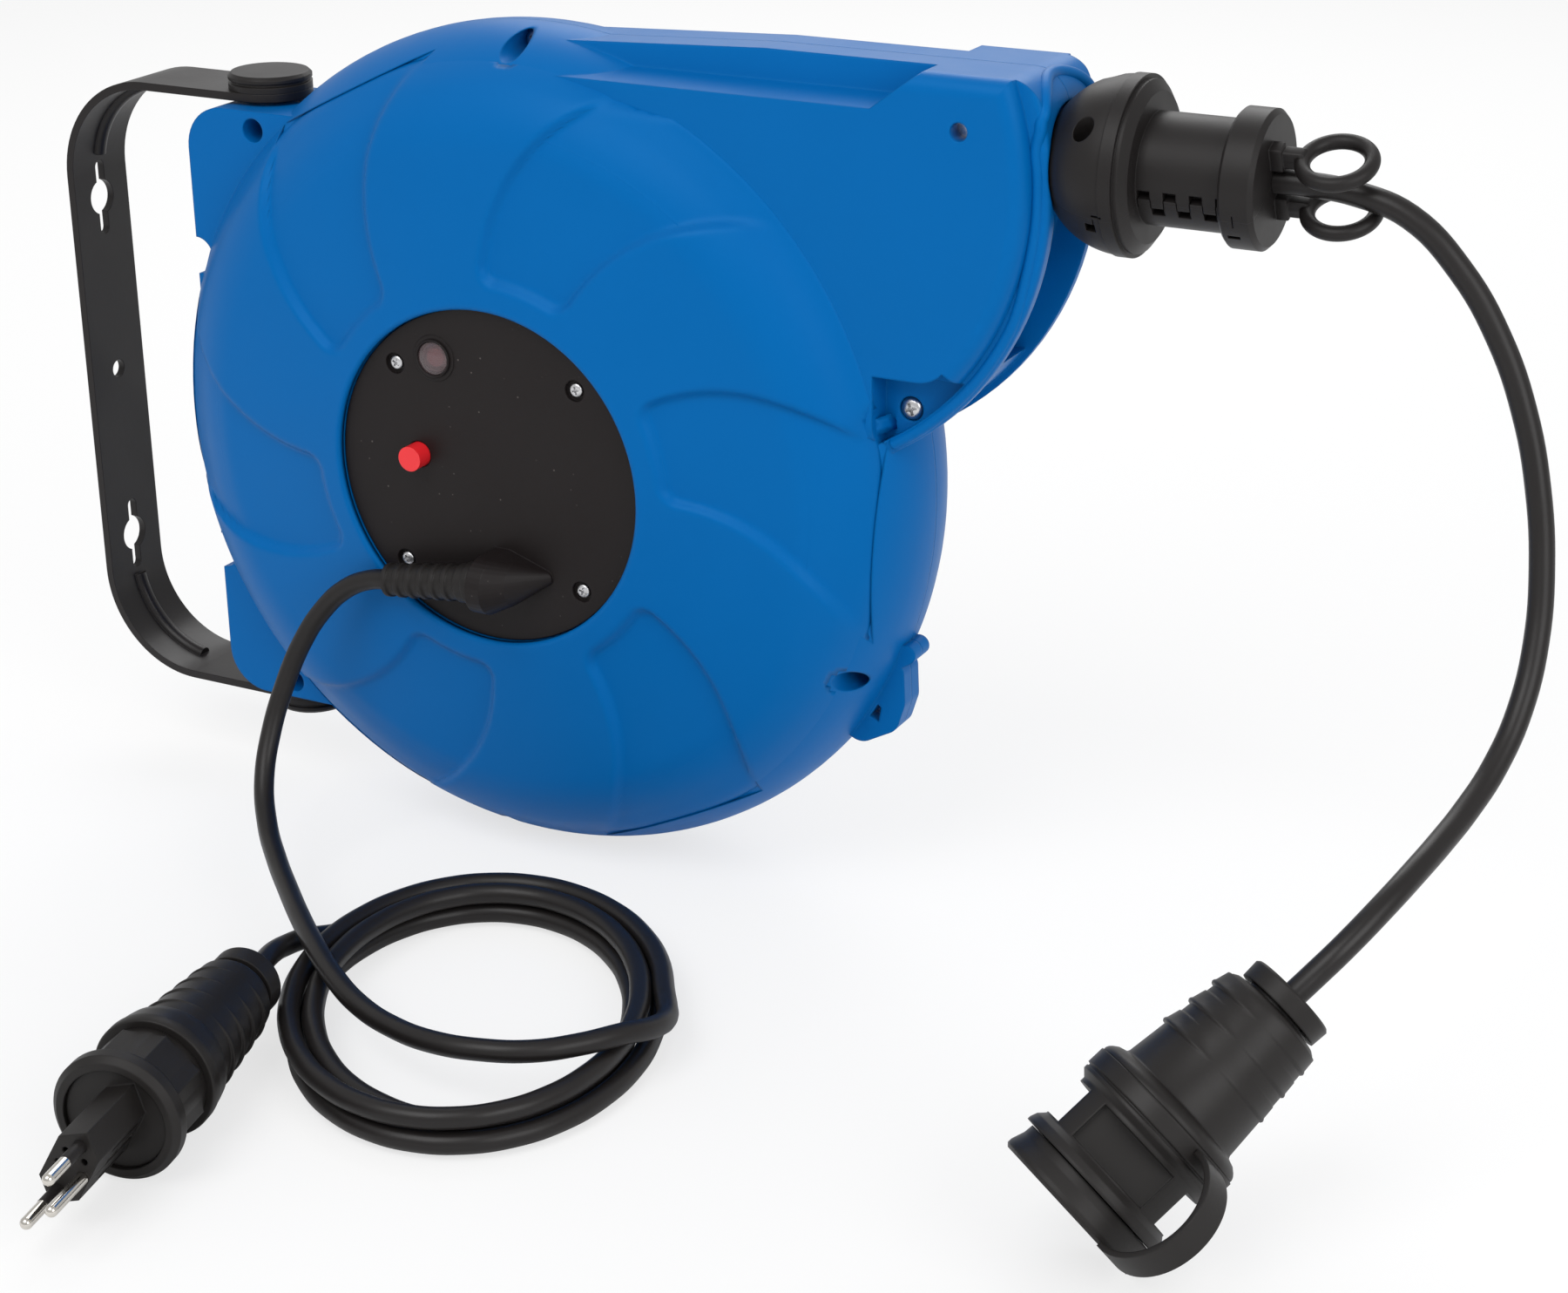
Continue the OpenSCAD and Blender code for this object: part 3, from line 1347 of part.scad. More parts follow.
module plug_core() {
  color(black) at_plug() {
    translate([0, 0, plug_collar_end - core_foot]) linear_extrude(core_foot + core_l) difference() {
      socket_outline(0);
      for (p = socket_holes()) translate(p) circle(pin_d / 2);
    }
    disc(plug_r - 4.6, plug_collar_end - core_foot, plug_collar_end - core_recess);
  }
}

module plug_pins() {
  tip = plug_face + pin_l;
  color(steel) at_plug() for (p = socket_holes()) translate([p[0], p[1], 0]) {
    disc(pin_d / 2, plug_collar_end - core_recess, tip - pin_d / 2);
    translate([0, 0, tip - pin_d / 2]) sphere(pin_d / 2);
  }
}

wall_bracket();
pivot_bushes();
pivot_caps();
pivot_bolts();
pivot_nuts();
near_shell();
far_shell();
casing_screws();
centre_plate();
plate_screws();
far_hub_cover();
cover_screws();
pilot_lens();
neon_lamp();
thermal_cutout();
reset_button();
terminal_block();
internal_leads();
brush_holder();
brushes();
main_axle();
axle_nut();
pawl();
pawl_pin();
pawl_spring();
roller_upper();
roller_lower();
roller_pins();
drum_hub();
near_flange();
far_flange();
flange_screws();
drum_bushes();
wound_cord();
slip_ring_carrier();
slip_rings();
spring_cover();
mainspring();
ratchet_wheel();
outlet_run();
stop_half_upper();
stop_half_lower();
stop_screws();
outlet_cord();
connector_grip();
connector_gland();
connector_body();
connector_contacts();
connector_cap();
connector_strap();
strain_relief();
supply_lead();
supply_coil();
supply_tail();
plug_grip();
plug_gland();
plug_collar();
plug_core();
plug_pins();
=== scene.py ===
import math
import bpy
from mathutils import Matrix, Vector


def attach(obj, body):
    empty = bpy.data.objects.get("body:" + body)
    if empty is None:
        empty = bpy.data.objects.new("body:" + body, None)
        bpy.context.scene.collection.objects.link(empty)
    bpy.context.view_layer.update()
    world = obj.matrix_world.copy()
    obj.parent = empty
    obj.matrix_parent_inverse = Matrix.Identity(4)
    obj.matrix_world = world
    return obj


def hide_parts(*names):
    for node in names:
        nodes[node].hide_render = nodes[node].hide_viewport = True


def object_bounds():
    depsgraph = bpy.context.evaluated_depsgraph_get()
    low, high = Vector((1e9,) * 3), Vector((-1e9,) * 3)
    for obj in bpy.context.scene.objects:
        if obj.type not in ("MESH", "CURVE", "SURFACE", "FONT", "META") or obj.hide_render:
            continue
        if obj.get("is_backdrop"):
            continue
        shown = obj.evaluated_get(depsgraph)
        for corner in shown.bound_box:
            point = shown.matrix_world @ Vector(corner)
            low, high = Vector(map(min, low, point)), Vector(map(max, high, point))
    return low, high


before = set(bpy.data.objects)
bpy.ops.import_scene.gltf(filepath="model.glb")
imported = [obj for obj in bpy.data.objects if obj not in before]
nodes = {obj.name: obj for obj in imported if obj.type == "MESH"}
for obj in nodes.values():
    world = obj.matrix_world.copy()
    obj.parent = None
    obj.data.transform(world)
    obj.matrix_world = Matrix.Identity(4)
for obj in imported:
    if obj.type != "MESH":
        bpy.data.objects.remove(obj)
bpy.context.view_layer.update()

bpy.ops.object.select_all(action="DESELECT")

# ---------- camera ----------
# A long lens looks down on the reel from in front and from the nose's side, so that the
# near face, the nose and the hanging cord are all seen.
camera_data = bpy.data.cameras.new("camera")
camera_data.sensor_fit = "HORIZONTAL"
camera_data.sensor_width = 36
camera_data.lens = 69.46
camera = bpy.data.objects.new("camera", camera_data)
bpy.context.scene.collection.objects.link(camera)
turn, tip, roll = math.radians(27.69), math.radians(22.53), math.radians(-0.51)
forward = Vector((-math.sin(turn) * math.cos(tip), math.cos(turn) * math.cos(tip), -math.sin(tip)))
level = Vector((math.cos(turn), math.sin(turn), 0))
upright = level.cross(forward)
right = level * math.cos(roll) + upright * math.sin(roll)
up = upright * math.cos(roll) - level * math.sin(roll)
camera.matrix_world = Matrix.Translation((0.772, -0.8989, 0.3563)) @ Matrix(
    (right, up, -forward)).transposed().to_4x4()
bpy.context.scene.camera = camera
bpy.context.scene.view_settings.view_transform = "Standard"

# ---------- studio ----------
# A white paper floor lies under the reel; three soft boxes and a pale room light it evenly,
# the strongest from above and in front.
floor_z, floor_size = -0.1552, 14
bpy.ops.mesh.primitive_plane_add(size=floor_size, location=(0.2, 0, floor_z))
floor = bpy.context.object
floor.name = "floor"
paper = bpy.data.materials.new("white_paper")
paper.use_nodes = True
shader = paper.node_tree.nodes["Principled BSDF"]
shader.inputs["Base Color"].default_value = (0.86, 0.86, 0.86, 1)
shader.inputs["Roughness"].default_value = 0.9
glow = paper.node_tree.nodes.new("ShaderNodeEmission")
glow.inputs["Color"].default_value = (1, 1, 1, 1)
path = paper.node_tree.nodes.new("ShaderNodeLightPath")
share = paper.node_tree.nodes.new("ShaderNodeMath")
share.operation = "MULTIPLY"
share.inputs[1].default_value = 0.7
blend = paper.node_tree.nodes.new("ShaderNodeMixShader")
paper.node_tree.links.new(path.outputs["Is Camera Ray"], share.inputs[0])
paper.node_tree.links.new(share.outputs[0], blend.inputs[0])
paper.node_tree.links.new(shader.outputs[0], blend.inputs[1])
paper.node_tree.links.new(glow.outputs[0], blend.inputs[2])
paper.node_tree.links.new(blend.outputs[0], paper.node_tree.nodes["Material Output"].inputs[0])
floor.data.materials.append(paper)
floor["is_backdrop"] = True

room = bpy.data.worlds.new("room")
bpy.context.scene.world = room
room.use_nodes = True
tree = room.node_tree
path = tree.nodes.new("ShaderNodeLightPath")
seen = tree.nodes.new("ShaderNodeMath")
seen.operation = "MAXIMUM"
tree.links.new(path.outputs["Is Camera Ray"], seen.inputs[0])
tree.links.new(path.outputs["Is Transmission Ray"], seen.inputs[1])
level_node = tree.nodes.new("ShaderNodeMapRange")
level_node.inputs["To Min"].default_value = 0.62
level_node.inputs["To Max"].default_value = 1.0
tree.links.new(seen.outputs[0], level_node.inputs["Value"])
tree.links.new(level_node.outputs[0], tree.nodes["Background"].inputs["Strength"])
tree.nodes["Background"].inputs["Color"].default_value = (1, 1, 1, 1)

lamp_aim = Vector((0.22, 0, 0))
for name, place, size, power in [
        ("key_box", (0.1, -1.3, 1.5), 1.2, 17),
        ("side_box", (1.6, -0.7, 0.7), 0.9, 8),
        ("back_box", (-0.2, 1.3, 1.2), 1.2, 12)]:
    lamp_data = bpy.data.lights.new(name, "AREA")
    lamp_data.size = size
    lamp_data.energy = power
    lamp = bpy.data.objects.new(name, lamp_data)
    bpy.context.scene.collection.objects.link(lamp)
    lamp.location = place
    lamp.rotation_euler = (lamp_aim - Vector(place)).to_track_quat("-Z", "Y").to_euler()

# ---------- supply cord ----------
# A three-core rubber lead, 7.5 mm thick and about 1.9 m long. It drops from the strain relief,
# crosses over its own coil, winds in and out again in two layers, and ends in the plug.
lead_d = 0.0075
supply_exit = Vector((0.16796, -0.0568, -0.04171))
turn_gap = 0.0007
coil_pitch = lead_d + turn_gap
coil_turns = 3 + 125 / 360
coil_start = 235
coil_half_width, coil_half_length = 0.065, 0.085
coil_way = math.radians(27.7)
coil_long = Vector((math.sin(coil_way), -math.cos(coil_way), 0))
coil_short = Vector((math.cos(coil_way), math.sin(coil_way), 0))
coil_centre = supply_exit + Vector((0.093, -0.097, -0.1085))
points_per_turn = 24
straight_end = 0.008


# a place on the coil's middle line: in from the outer turn, up a layer, and out again
def coil_point(turns):
    inset = coil_pitch * min(turns, coil_turns - turns)
    climb = min(max((turns - coil_turns / 2) * 2 + 0.5, 0), 1)
    angle = math.radians(coil_start + 360 * turns)
    return (coil_centre + (coil_half_width - inset) * math.cos(angle) * coil_short
            + (coil_half_length - inset) * math.sin(angle) * coil_long
            + Vector((0, 0, coil_pitch * climb * climb * (3 - 2 * climb))))


coil_steps = round(coil_turns * points_per_turn)
coil_line = [coil_point(coil_turns * i / coil_steps) for i in range(coil_steps + 1)]
coil_out = (coil_line[-1] - coil_line[-2]).normalized()
coil_in = (coil_line[0] - coil_line[1]).normalized()
drop = [(0, 0, 0), (-7.9, 0, -1.4), (-18, -1.5, -6), (-27.5, -4.5, -15.5), (-34.5, -9, -28),
        (-39, -15, -43), (-41, -22.5, -59), (-38, -33, -74), (-28, -46, -84.5), (-14, -60, -89.5),
        (2, -75, -91.5), (18, -90, -91.8), (34, -104, -92), (51, -117, -93.5), (69, -128, -94.5),
        (88, -136, -94), (106, -140, -92.8), (124, -139, -91.6), (139, -132.5, -91.6),
        (150, -122, -91.8), (158.5, -108, -92.8), (162, -94, -96.5), (160, -82, -99.6)]
tail = [(19.5, -73, -106), (17, -86, -102), (19, -100.5, -97.5), (23.5, -114.5, -93)]
plug_at = supply_exit + Vector((0.0297, -0.1357, -0.091))
plug_turn = math.radians(10.9)
plug_way = Vector((math.sin(plug_turn), -math.cos(plug_turn), 0))
supply_line = [supply_exit + Vector(p) / 1000 for p in drop]
supply_line += [coil_line[-1] + straight_end * coil_out]
supply_line += coil_line[::-1]
supply_line += [coil_line[0] + straight_end * coil_in]
supply_line += [supply_exit + Vector(p) / 1000 for p in tail]
supply_line += [plug_at - straight_end * plug_way, plug_at]


def rubber_cord(name, line, thick):
    data = bpy.data.curves.new(name, "CURVE")
    data.dimensions = "3D"
    data.bevel_depth = thick / 2
    data.bevel_resolution = 6
    data.resolution_u = 6
    data.use_fill_caps = True
    spline = data.splines.new("BEZIER")
    spline.bezier_points.add(len(line) - 1)
    for knot, place in zip(spline.bezier_points, line):
        knot.co = place
        knot.handle_left_type = knot.handle_right_type = "AUTO"
    cord = bpy.data.objects.new(name, data)
    bpy.context.scene.collection.objects.link(cord)
    return cord


# the skin that every moulded or extruded part shares: fine grain, slight mottling of the
# colour and a gloss that wanders a little
moulded_skin = bpy.data.node_groups.new("moulded_skin", "ShaderNodeTree")
for label, kind, value in [
        ("Place", "NodeSocketVector", None),
        ("Colour", "NodeSocketColor", (0.5, 0.5, 0.5, 1)),
        ("Grain", "NodeSocketFloat", 1200),
        ("Mottle", "NodeSocketFloat", 0.08),
        ("Gloss Low", "NodeSocketFloat", 0.35),
        ("Gloss High", "NodeSocketFloat", 0.5)]:
    socket = moulded_skin.interface.new_socket(label, in_out="INPUT", socket_type=kind)
    if value is not None:
        socket.default_value = value
for label, kind in [
        ("Colour", "NodeSocketColor"),
        ("Roughness", "NodeSocketFloat"),
        ("Height", "NodeSocketFloat")]:
    moulded_skin.interface.new_socket(label, in_out="OUTPUT", socket_type=kind)
make, join = moulded_skin.nodes.new, moulded_skin.links.new
given, result = make("NodeGroupInput"), make("NodeGroupOutput")
grain = make("ShaderNodeTexNoise")
grain.inputs["Detail"].default_value = 3
join(given.outputs["Place"], grain.inputs["Vector"])
join(given.outputs["Grain"], grain.inputs["Scale"])
cloud = make("ShaderNodeTexNoise")
cloud.inputs["Scale"].default_value = 26
cloud.inputs["Detail"].default_value = 5
join(given.outputs["Place"], cloud.inputs["Vector"])
centred = make("ShaderNodeMath")
centred.operation = "SUBTRACT"
centred.inputs[1].default_value = 0.5
join(cloud.outputs["Fac"], centred.inputs[0])
swing = make("ShaderNodeMath")
swing.operation = "MULTIPLY_ADD"
swing.inputs[2].default_value = 1.0
join(centred.outputs[0], swing.inputs[0])
join(given.outputs["Mottle"], swing.inputs[1])
tinted = make("ShaderNodeVectorMath")
tinted.operation = "SCALE"
join(given.outputs["Colour"], tinted.inputs[0])
join(swing.outputs[0], tinted.inputs["Scale"])
join(tinted.outputs[0], result.inputs["Colour"])
gloss = make("ShaderNodeMapRange")
gloss.inputs["From Min"].default_value = 0.3
gloss.inputs["From Max"].default_value = 0.7
join(cloud.outputs["Fac"], gloss.inputs["Value"])
join(given.outputs["Gloss Low"], gloss.inputs["To Min"])
join(given.outputs["Gloss High"], gloss.inputs["To Max"])
join(gloss.outputs[0], result.inputs["Roughness"])
join(grain.outputs["Fac"], result.inputs["Height"])


# a material with that skin; depth is how far the grain stands up, in metres
def grained(name, colour, gloss_low, gloss_high, grain, depth, mottle, strength):
    skin = bpy.data.materials.new(name)
    skin.use_nodes = True
    tree = skin.node_tree
    shader = tree.nodes["Principled BSDF"]
    place = tree.nodes.new("ShaderNodeTexCoord")
    surface = tree.nodes.new("ShaderNodeGroup")
    surface.node_tree = moulded_skin
    surface.inputs["Colour"].default_value = (*colour, 1)
    surface.inputs["Grain"].default_value = grain
    surface.inputs["Mottle"].default_value = mottle
    surface.inputs["Gloss Low"].default_value = gloss_low
    surface.inputs["Gloss High"].default_value = gloss_high
    bump = tree.nodes.new("ShaderNodeBump")
    bump.inputs["Strength"].default_value = strength
    bump.inputs["Distance"].default_value = depth
    tree.links.new(place.outputs["Object"], surface.inputs["Place"])
    tree.links.new(surface.outputs["Colour"], shader.inputs["Base Color"])
    tree.links.new(surface.outputs["Roughness"], shader.inputs["Roughness"])
    tree.links.new(surface.outputs["Height"], bump.inputs["Height"])
    tree.links.new(bump.outputs[0], shader.inputs["Normal"])
    return skin, shader, bump


# plastic or rubber out of a mould, whose edges look rounded by the radius that edge gives
def moulded(name, colour, gloss_low, gloss_high, grain=1200, depth=0.00002, mottle=0.1, specular=0.5,
            edge=0.0005):
    skin, shader, bump = grained(name, colour, gloss_low, gloss_high, grain, depth, mottle, 0.6)
    shader.inputs["Specular IOR Level"].default_value = specular
    round_edge = skin.node_tree.nodes.new("ShaderNodeBevel")
    round_edge.samples = 6
    round_edge.inputs["Radius"].default_value = edge
    skin.node_tree.links.new(round_edge.outputs[0], bump.inputs["Normal"])
    return skin


def finish_node(material, *names):
    for name in names:
        nodes[name].data.materials.clear()
        nodes[name].data.materials.append(material)


cord_sheath = moulded("cord_sheath", (0.0125, 0.0108, 0.0105), 0.32, 0.44, 900, 0.00003, 0.1, 0.3)
supply_cord = rubber_cord("supply_cord", supply_line, lead_d)
supply_cord.data.materials.append(cord_sheath)
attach(supply_cord, "casing")
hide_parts("supply_lead", "supply_coil", "supply_tail")

# ---------- outlet cord ----------
# A round 8.1 mm cord. It leaves the cable stop forwards, bends over under its own weight
# and swings round towards the front into the connector, which hangs with its cap down.
outlet_d = 0.0081
stop_front = Vector((0.476, 0, 0.126))
outlet_line = [stop_front + Vector(p) / 1000 for p in [
    (0, 0, 0), (10, 0, 0), (27, 0, -1.5), (44, 0, -6.8), (61.2, -0.7, -21.6), (75.2, -2.1, -41.1),
    (85.6, -4.5, -62.9), (92.8, -8.3, -85.7), (97.5, -14.1, -108.7), (99.8, -22.6, -130.3),
    (99.4, -34.5, -148.8), (96.7, -49.6, -162.5), (93.2, -66.3, -170.8), (90.3, -81.9, -175.2),
    (87.2, -97.3, -178.9), (82.9, -112.4, -184), (75.3, -127.5, -193.3), (69.2, -134.9, -200.5),
    (65.1, -139.9, -205.2)]]
hanging_cord = rubber_cord("hanging_cord", outlet_line, outlet_d)
hanging_cord.data.materials.append(cord_sheath)
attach(hanging_cord, "cord_end")
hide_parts("outlet_cord")
finish_node(cord_sheath, "outlet_run")

# ---------- casing halves ----------
# Two halves injection moulded in strong blue polypropylene, screwed together at the rim.
# The mould gives them a fine satin grain.
casing_blue = moulded("casing_blue", (0.0, 0.114, 0.37), 0.36, 0.46, 1500, 0.000012, 0.05, 0.2, 0.0012)
casing_blue.node_tree.nodes["Principled BSDF"].inputs["Specular Tint"].default_value = (0.25, 0.6, 1, 1)
finish_node(casing_blue, "near_shell", "far_shell")

# ---------- pressed faces ----------
# The skin of each casing face: six spiral petals sunk between raised lands, with soft slopes,
# a rounded rim at the centre opening and a fillet where the dome meets the nose's panel.
axis_x = 206.0
drum_axis = Vector((axis_x / 1000, 0, 0))
rim_r, corner_r, half_depth, face_r = 154.5, 42.0, 48.0, 62.0
arc_centre = rim_r - corner_r
face_slope = math.acos(corner_r / math.hypot(arc_centre - face_r, half_depth)) - math.atan2(
    arc_centre - face_r, half_depth)
panel_h, panel_low, panel_rear, fillet = 28.0, 20.0, 206.0, 9.0
nose_centre, nose_r = (301.0, 117.65), 108.0
petal_pitch, petal_width, petal_corner = 60, 29, 7
petal_r, petal_reach, petal_sweep, petal_curl = 71, 74, 18, 1.8
petal_sink, outer_sink, land_rise, slope_width = 1.45, 0.24, 1.35, 2.9
skin_wall, skin_lift = 0.4, 0.05
bore_r, bore_from, bore_to, bore_round = 61.9, 46.3, 48.2, [(62.15, 48.9), (62.8, 48.9)]
skin_from, skin_to, skin_rings, skin_sides = 64, 151, 64, 480
dome_screws = [(axis_x + 149 * math.cos(math.radians(a)), 149 * math.sin(math.radians(a))) for a in (89, 265)]
front_screw = (338.78, -61.91)
screw_pocket_r, block_pocket_r = 5.4, 8
pockets = [(*place, screw_pocket_r) for place in [*dome_screws, front_screw]]
pockets += [(65, z, block_pocket_r) for z in (59, -59)]


def soft_step(low, high, value):
    t = min(max((value - low) / (high - low), 0), 1)
    return t * t * (3 - 2 * t)


def dome_height(r):
    if r < arc_centre + corner_r * math.sin(face_slope):
        return half_depth - (r - face_r) * math.tan(face_slope)
    return math.sqrt(max(corner_r ** 2 - (r - arc_centre) ** 2, 0))


# how far a place is inside its petal, in millimetres; below zero on the lands between
def petal_inset(r, angle):
    bend = -petal_sweep * (max(r - petal_r, 0) / petal_reach) ** petal_curl
    turn = (angle - 1 - bend) % petal_pitch
    edge = min(turn, petal_width - turn) if turn < petal_width else -1
    across, inward = math.radians(edge) * r, r - petal_r
    if 0 < across < petal_corner and 0 < inward < petal_corner:
        return petal_corner - math.hypot(petal_corner - across, petal_corner - inward)
    return min(across, inward)


# the skin's height at a place, and how much of the nose's panel is blended into it there
def pressed_height(r, angle, x, z):
    dome = dome_height(r)
    inset = petal_inset(r, angle)
    sunk = (petal_sink + outer_sink * soft_step(120, 126, r)) * (1 - soft_step(136, 149, r))
    raised = land_rise * (1 - soft_step(137, 146.5, r))
    height = dome + raised - (raised + sunk) * soft_step(0, slope_width, inset)
    edge = dome - skin_wall - (1.3 if inset > 0 and r > 140 else 0)
    from_front = nose_r - math.hypot(x - nose_centre[0], z - nose_centre[1])
    inside = soft_step(8, 20, from_front) * soft_step(2, 14, 147 - z) * soft_step(0, 14, x - panel_rear)
    inside *= 1 - soft_step(131, 139, z)
    if z < panel_low:
        inside = 0
    panel = panel_h + skin_lift
    near = max(fillet - abs(height - panel_h - skin_lift), 0)
    joined = max(height, panel) + near * near / (4 * fillet)
    if height < panel_h - fillet * 0.8:
        joined = panel_h - skin_wall
    plain = height + (edge - height) * soft_step(143.5, 147, r)
    return plain + (joined - plain) * inside, inside


def pressed_face(name, with_pockets):
    rings = [(bore_r, bore_to)] + bore_round + [
        (skin_from + (skin_to - skin_from) * i / skin_rings, 48.9) for i in range(skin_rings + 1)]
    bpy.ops.object.select_all(action="DESELECT")
    bpy.ops.mesh.primitive_circle_add(vertices=skin_sides, radius=bore_r, location=(0, 0, bore_from))
    piece = bpy.context.object
    piece.name = name
    bpy.ops.object.transform_apply(location=True)
    bpy.ops.object.mode_set(mode="EDIT")
    bpy.ops.mesh.select_mode(type="VERT")
    bpy.ops.mesh.select_all(action="SELECT")
    r, h = bore_r, bore_from
    for next_r, next_h in rings:
        bpy.ops.mesh.extrude_region_move(TRANSFORM_OT_translate={"value": (0, 0, next_h - h)})
        bpy.ops.transform.resize(value=(next_r / r, next_r / r, 1), center_override=(0, 0, next_h))
        r, h = next_r, next_h
    bpy.ops.object.mode_set(mode="OBJECT")
    on_panel = {}
    for corner in piece.data.vertices:
        r = math.hypot(corner.co.x, corner.co.y)
        if r > 62.5:
            angle = math.degrees(math.atan2(corner.co.y, corner.co.x)) % 360
            corner.co.z, on_panel[corner.index] = pressed_height(r, angle, corner.co.x + axis_x, corner.co.y)
        elif r > 62:
            corner.co.z = 48.6
    for face in piece.data.polygons:
        x, z = face.center.x + axis_x, face.center.y
        r = math.hypot(face.center.x, face.center.y)
        heights = [(piece.data.vertices[v].co.z, on_panel.get(v, 0)) for v in face.vertices]
        past_rim = all(share < 0.02 for h, share in heights) and r > 147
        under_panel = any(share > 0.5 and h < panel_h - 0.39 for h, share in heights) and all(
            h < panel_h - 0.2 for h, share in heights)
        hole = with_pockets and any(math.hypot(x - px, z - pz) < reach for px, pz, reach in pockets)
        face.select = past_rim or under_panel or hole
    bpy.ops.object.mode_set(mode="EDIT")
    bpy.ops.mesh.select_mode(type="FACE")
    bpy.ops.mesh.delete(type="FACE")
    bpy.ops.mesh.select_all(action="SELECT")
    bpy.ops.mesh.normals_make_consistent(inside=False)
    bpy.ops.object.mode_set(mode="OBJECT")
    if sum(f.normal.z for f in piece.data.polygons) < 0:
        piece.data.flip_normals()
    wall = piece.modifiers.new("wall", "SOLIDIFY")
    wall.thickness = skin_wall
    wall.offset = -1
    bpy.ops.object.modifier_apply(modifier="wall")
    bpy.ops.object.shade_smooth()
    return piece


# turns a piece made face up in millimetres to stand on the near side of the drum's axis
def stand_on_face(piece):
    face_up = Matrix.Rotation(math.pi / 2, 4, "X") @ Matrix.Scale(0.001, 4)
    piece.data.transform(Matrix.Translation(drum_axis) @ face_up)


near_face = pressed_face("near_face", True)
stand_on_face(near_face)
far_face = pressed_face("far_face", False)
stand_on_face(far_face)
far_face.data.transform(Matrix.Scale(-1, 4, (0, 1, 0)))
far_face.data.flip_normals()
for face_skin in (near_face, far_face):
    face_skin.data.materials.append(casing_blue)
    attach(face_skin, "casing")

# ---------- mouth rim ----------
# A bead moulded along both lips of the nose that closes in an arch over the cord's way out.
bead_d = 0.0044
lip_centre, lip_r, lip_draw, lip_y = (301, 118), 105.2, 1.7, 20.8
arch_from, arch_rise, arch_front, arch_in = 139.5, 13.6, 405.2, 0.4
round_from, round_r, round_front = 142.7, 12, 393.7
near_lip = []
for step in range(-60, 12, 4):
    out = lip_r - lip_draw * soft_step(-26, -12, step)
    near_lip.append((lip_centre[0] + out * math.cos(math.radians(step)), -lip_y,
                     lip_centre[1] + out * math.sin(math.radians(step))))
arch = []
for step in range(0, 181, 9):
    rise = arch_from + arch_rise * math.sin(math.radians(step))
    front = arch_front
    if rise > round_from:
        front = round_front + math.sqrt(max(round_r ** 2 - (rise - round_from) ** 2, 0))
    arch.append((front - arch_in, -lip_y * math.cos(math.radians(step)), rise))
rim_line = near_lip + arch + [(x, -y, z) for x, y, z in near_lip[::-1]]
mouth_rim = rubber_cord("mouth_rim", [Vector(p) / 1000 for p in rim_line], bead_d)
mouth_rim.data.materials.append(casing_blue)
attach(mouth_rim, "casing")

# ---------- screws ----------
# Zinc-plated pan-head screws with a cross recess, turned, headed and driven into the casing
# and the centre plate.
def metal(name, colour, rough_low, rough_high):
    finish, shader, bump = grained(name, colour, rough_low, rough_high, 1600, 0.00001, 0.25, 0.35)
    shader.inputs["Metallic"].default_value = 1.0
    return finish


zinc = metal("zinc_plate", (0.62, 0.62, 0.63), 0.24, 0.38)


# a turned piece: a disc pulled up through rings of a radius and a height, in millimetres
def turned(name, profile, sides=96):
    bpy.ops.object.select_all(action="DESELECT")
    r, h = profile[0]
    bpy.ops.mesh.primitive_circle_add(vertices=sides, radius=r, fill_type="NGON", location=(0, 0, h))
    piece = bpy.context.object
    piece.name = name
    bpy.ops.object.transform_apply(location=True)
    bpy.ops.object.mode_set(mode="EDIT")
    bpy.ops.mesh.select_all(action="SELECT")
    for next_r, next_h in profile[1:]:
        bpy.ops.mesh.extrude_region_move(TRANSFORM_OT_translate={"value": (0, 0, next_h - h)})
        bpy.ops.transform.resize(value=(next_r / r, next_r / r, 1), center_override=(0, 0, next_h))
        r, h = next_r, next_h
    bpy.ops.mesh.select_all(action="SELECT")
    bpy.ops.mesh.normals_make_consistent(inside=False)
    bpy.ops.object.mode_set(mode="OBJECT")
    return piece


def box_tool(size, place):
    bpy.ops.object.select_all(action="DESELECT")
    bpy.ops.mesh.primitive_cube_add(size=1, location=place)
    tool = bpy.context.object
    tool.scale = size
    bpy.ops.object.transform_apply(location=True, scale=True)
    return tool


def carve(piece, tool, how="DIFFERENCE"):
    cut = piece.modifiers.new("cut", "BOOLEAN")
    cut.operation = how
    cut.object = tool
    bpy.ops.object.select_all(action="DESELECT")
    bpy.context.view_layer.objects.active = piece
    piece.select_set(True)
    bpy.ops.object.modifier_apply(modifier="cut")
    bpy.data.objects.remove(tool)


def join_pieces(name, parts):
    bpy.ops.object.select_all(action="DESELECT")
    for part in parts:
        part.select_set(True)
    bpy.context.view_layer.objects.active = parts[0]
    bpy.ops.object.join()
    parts[0].name = name
    return parts[0]


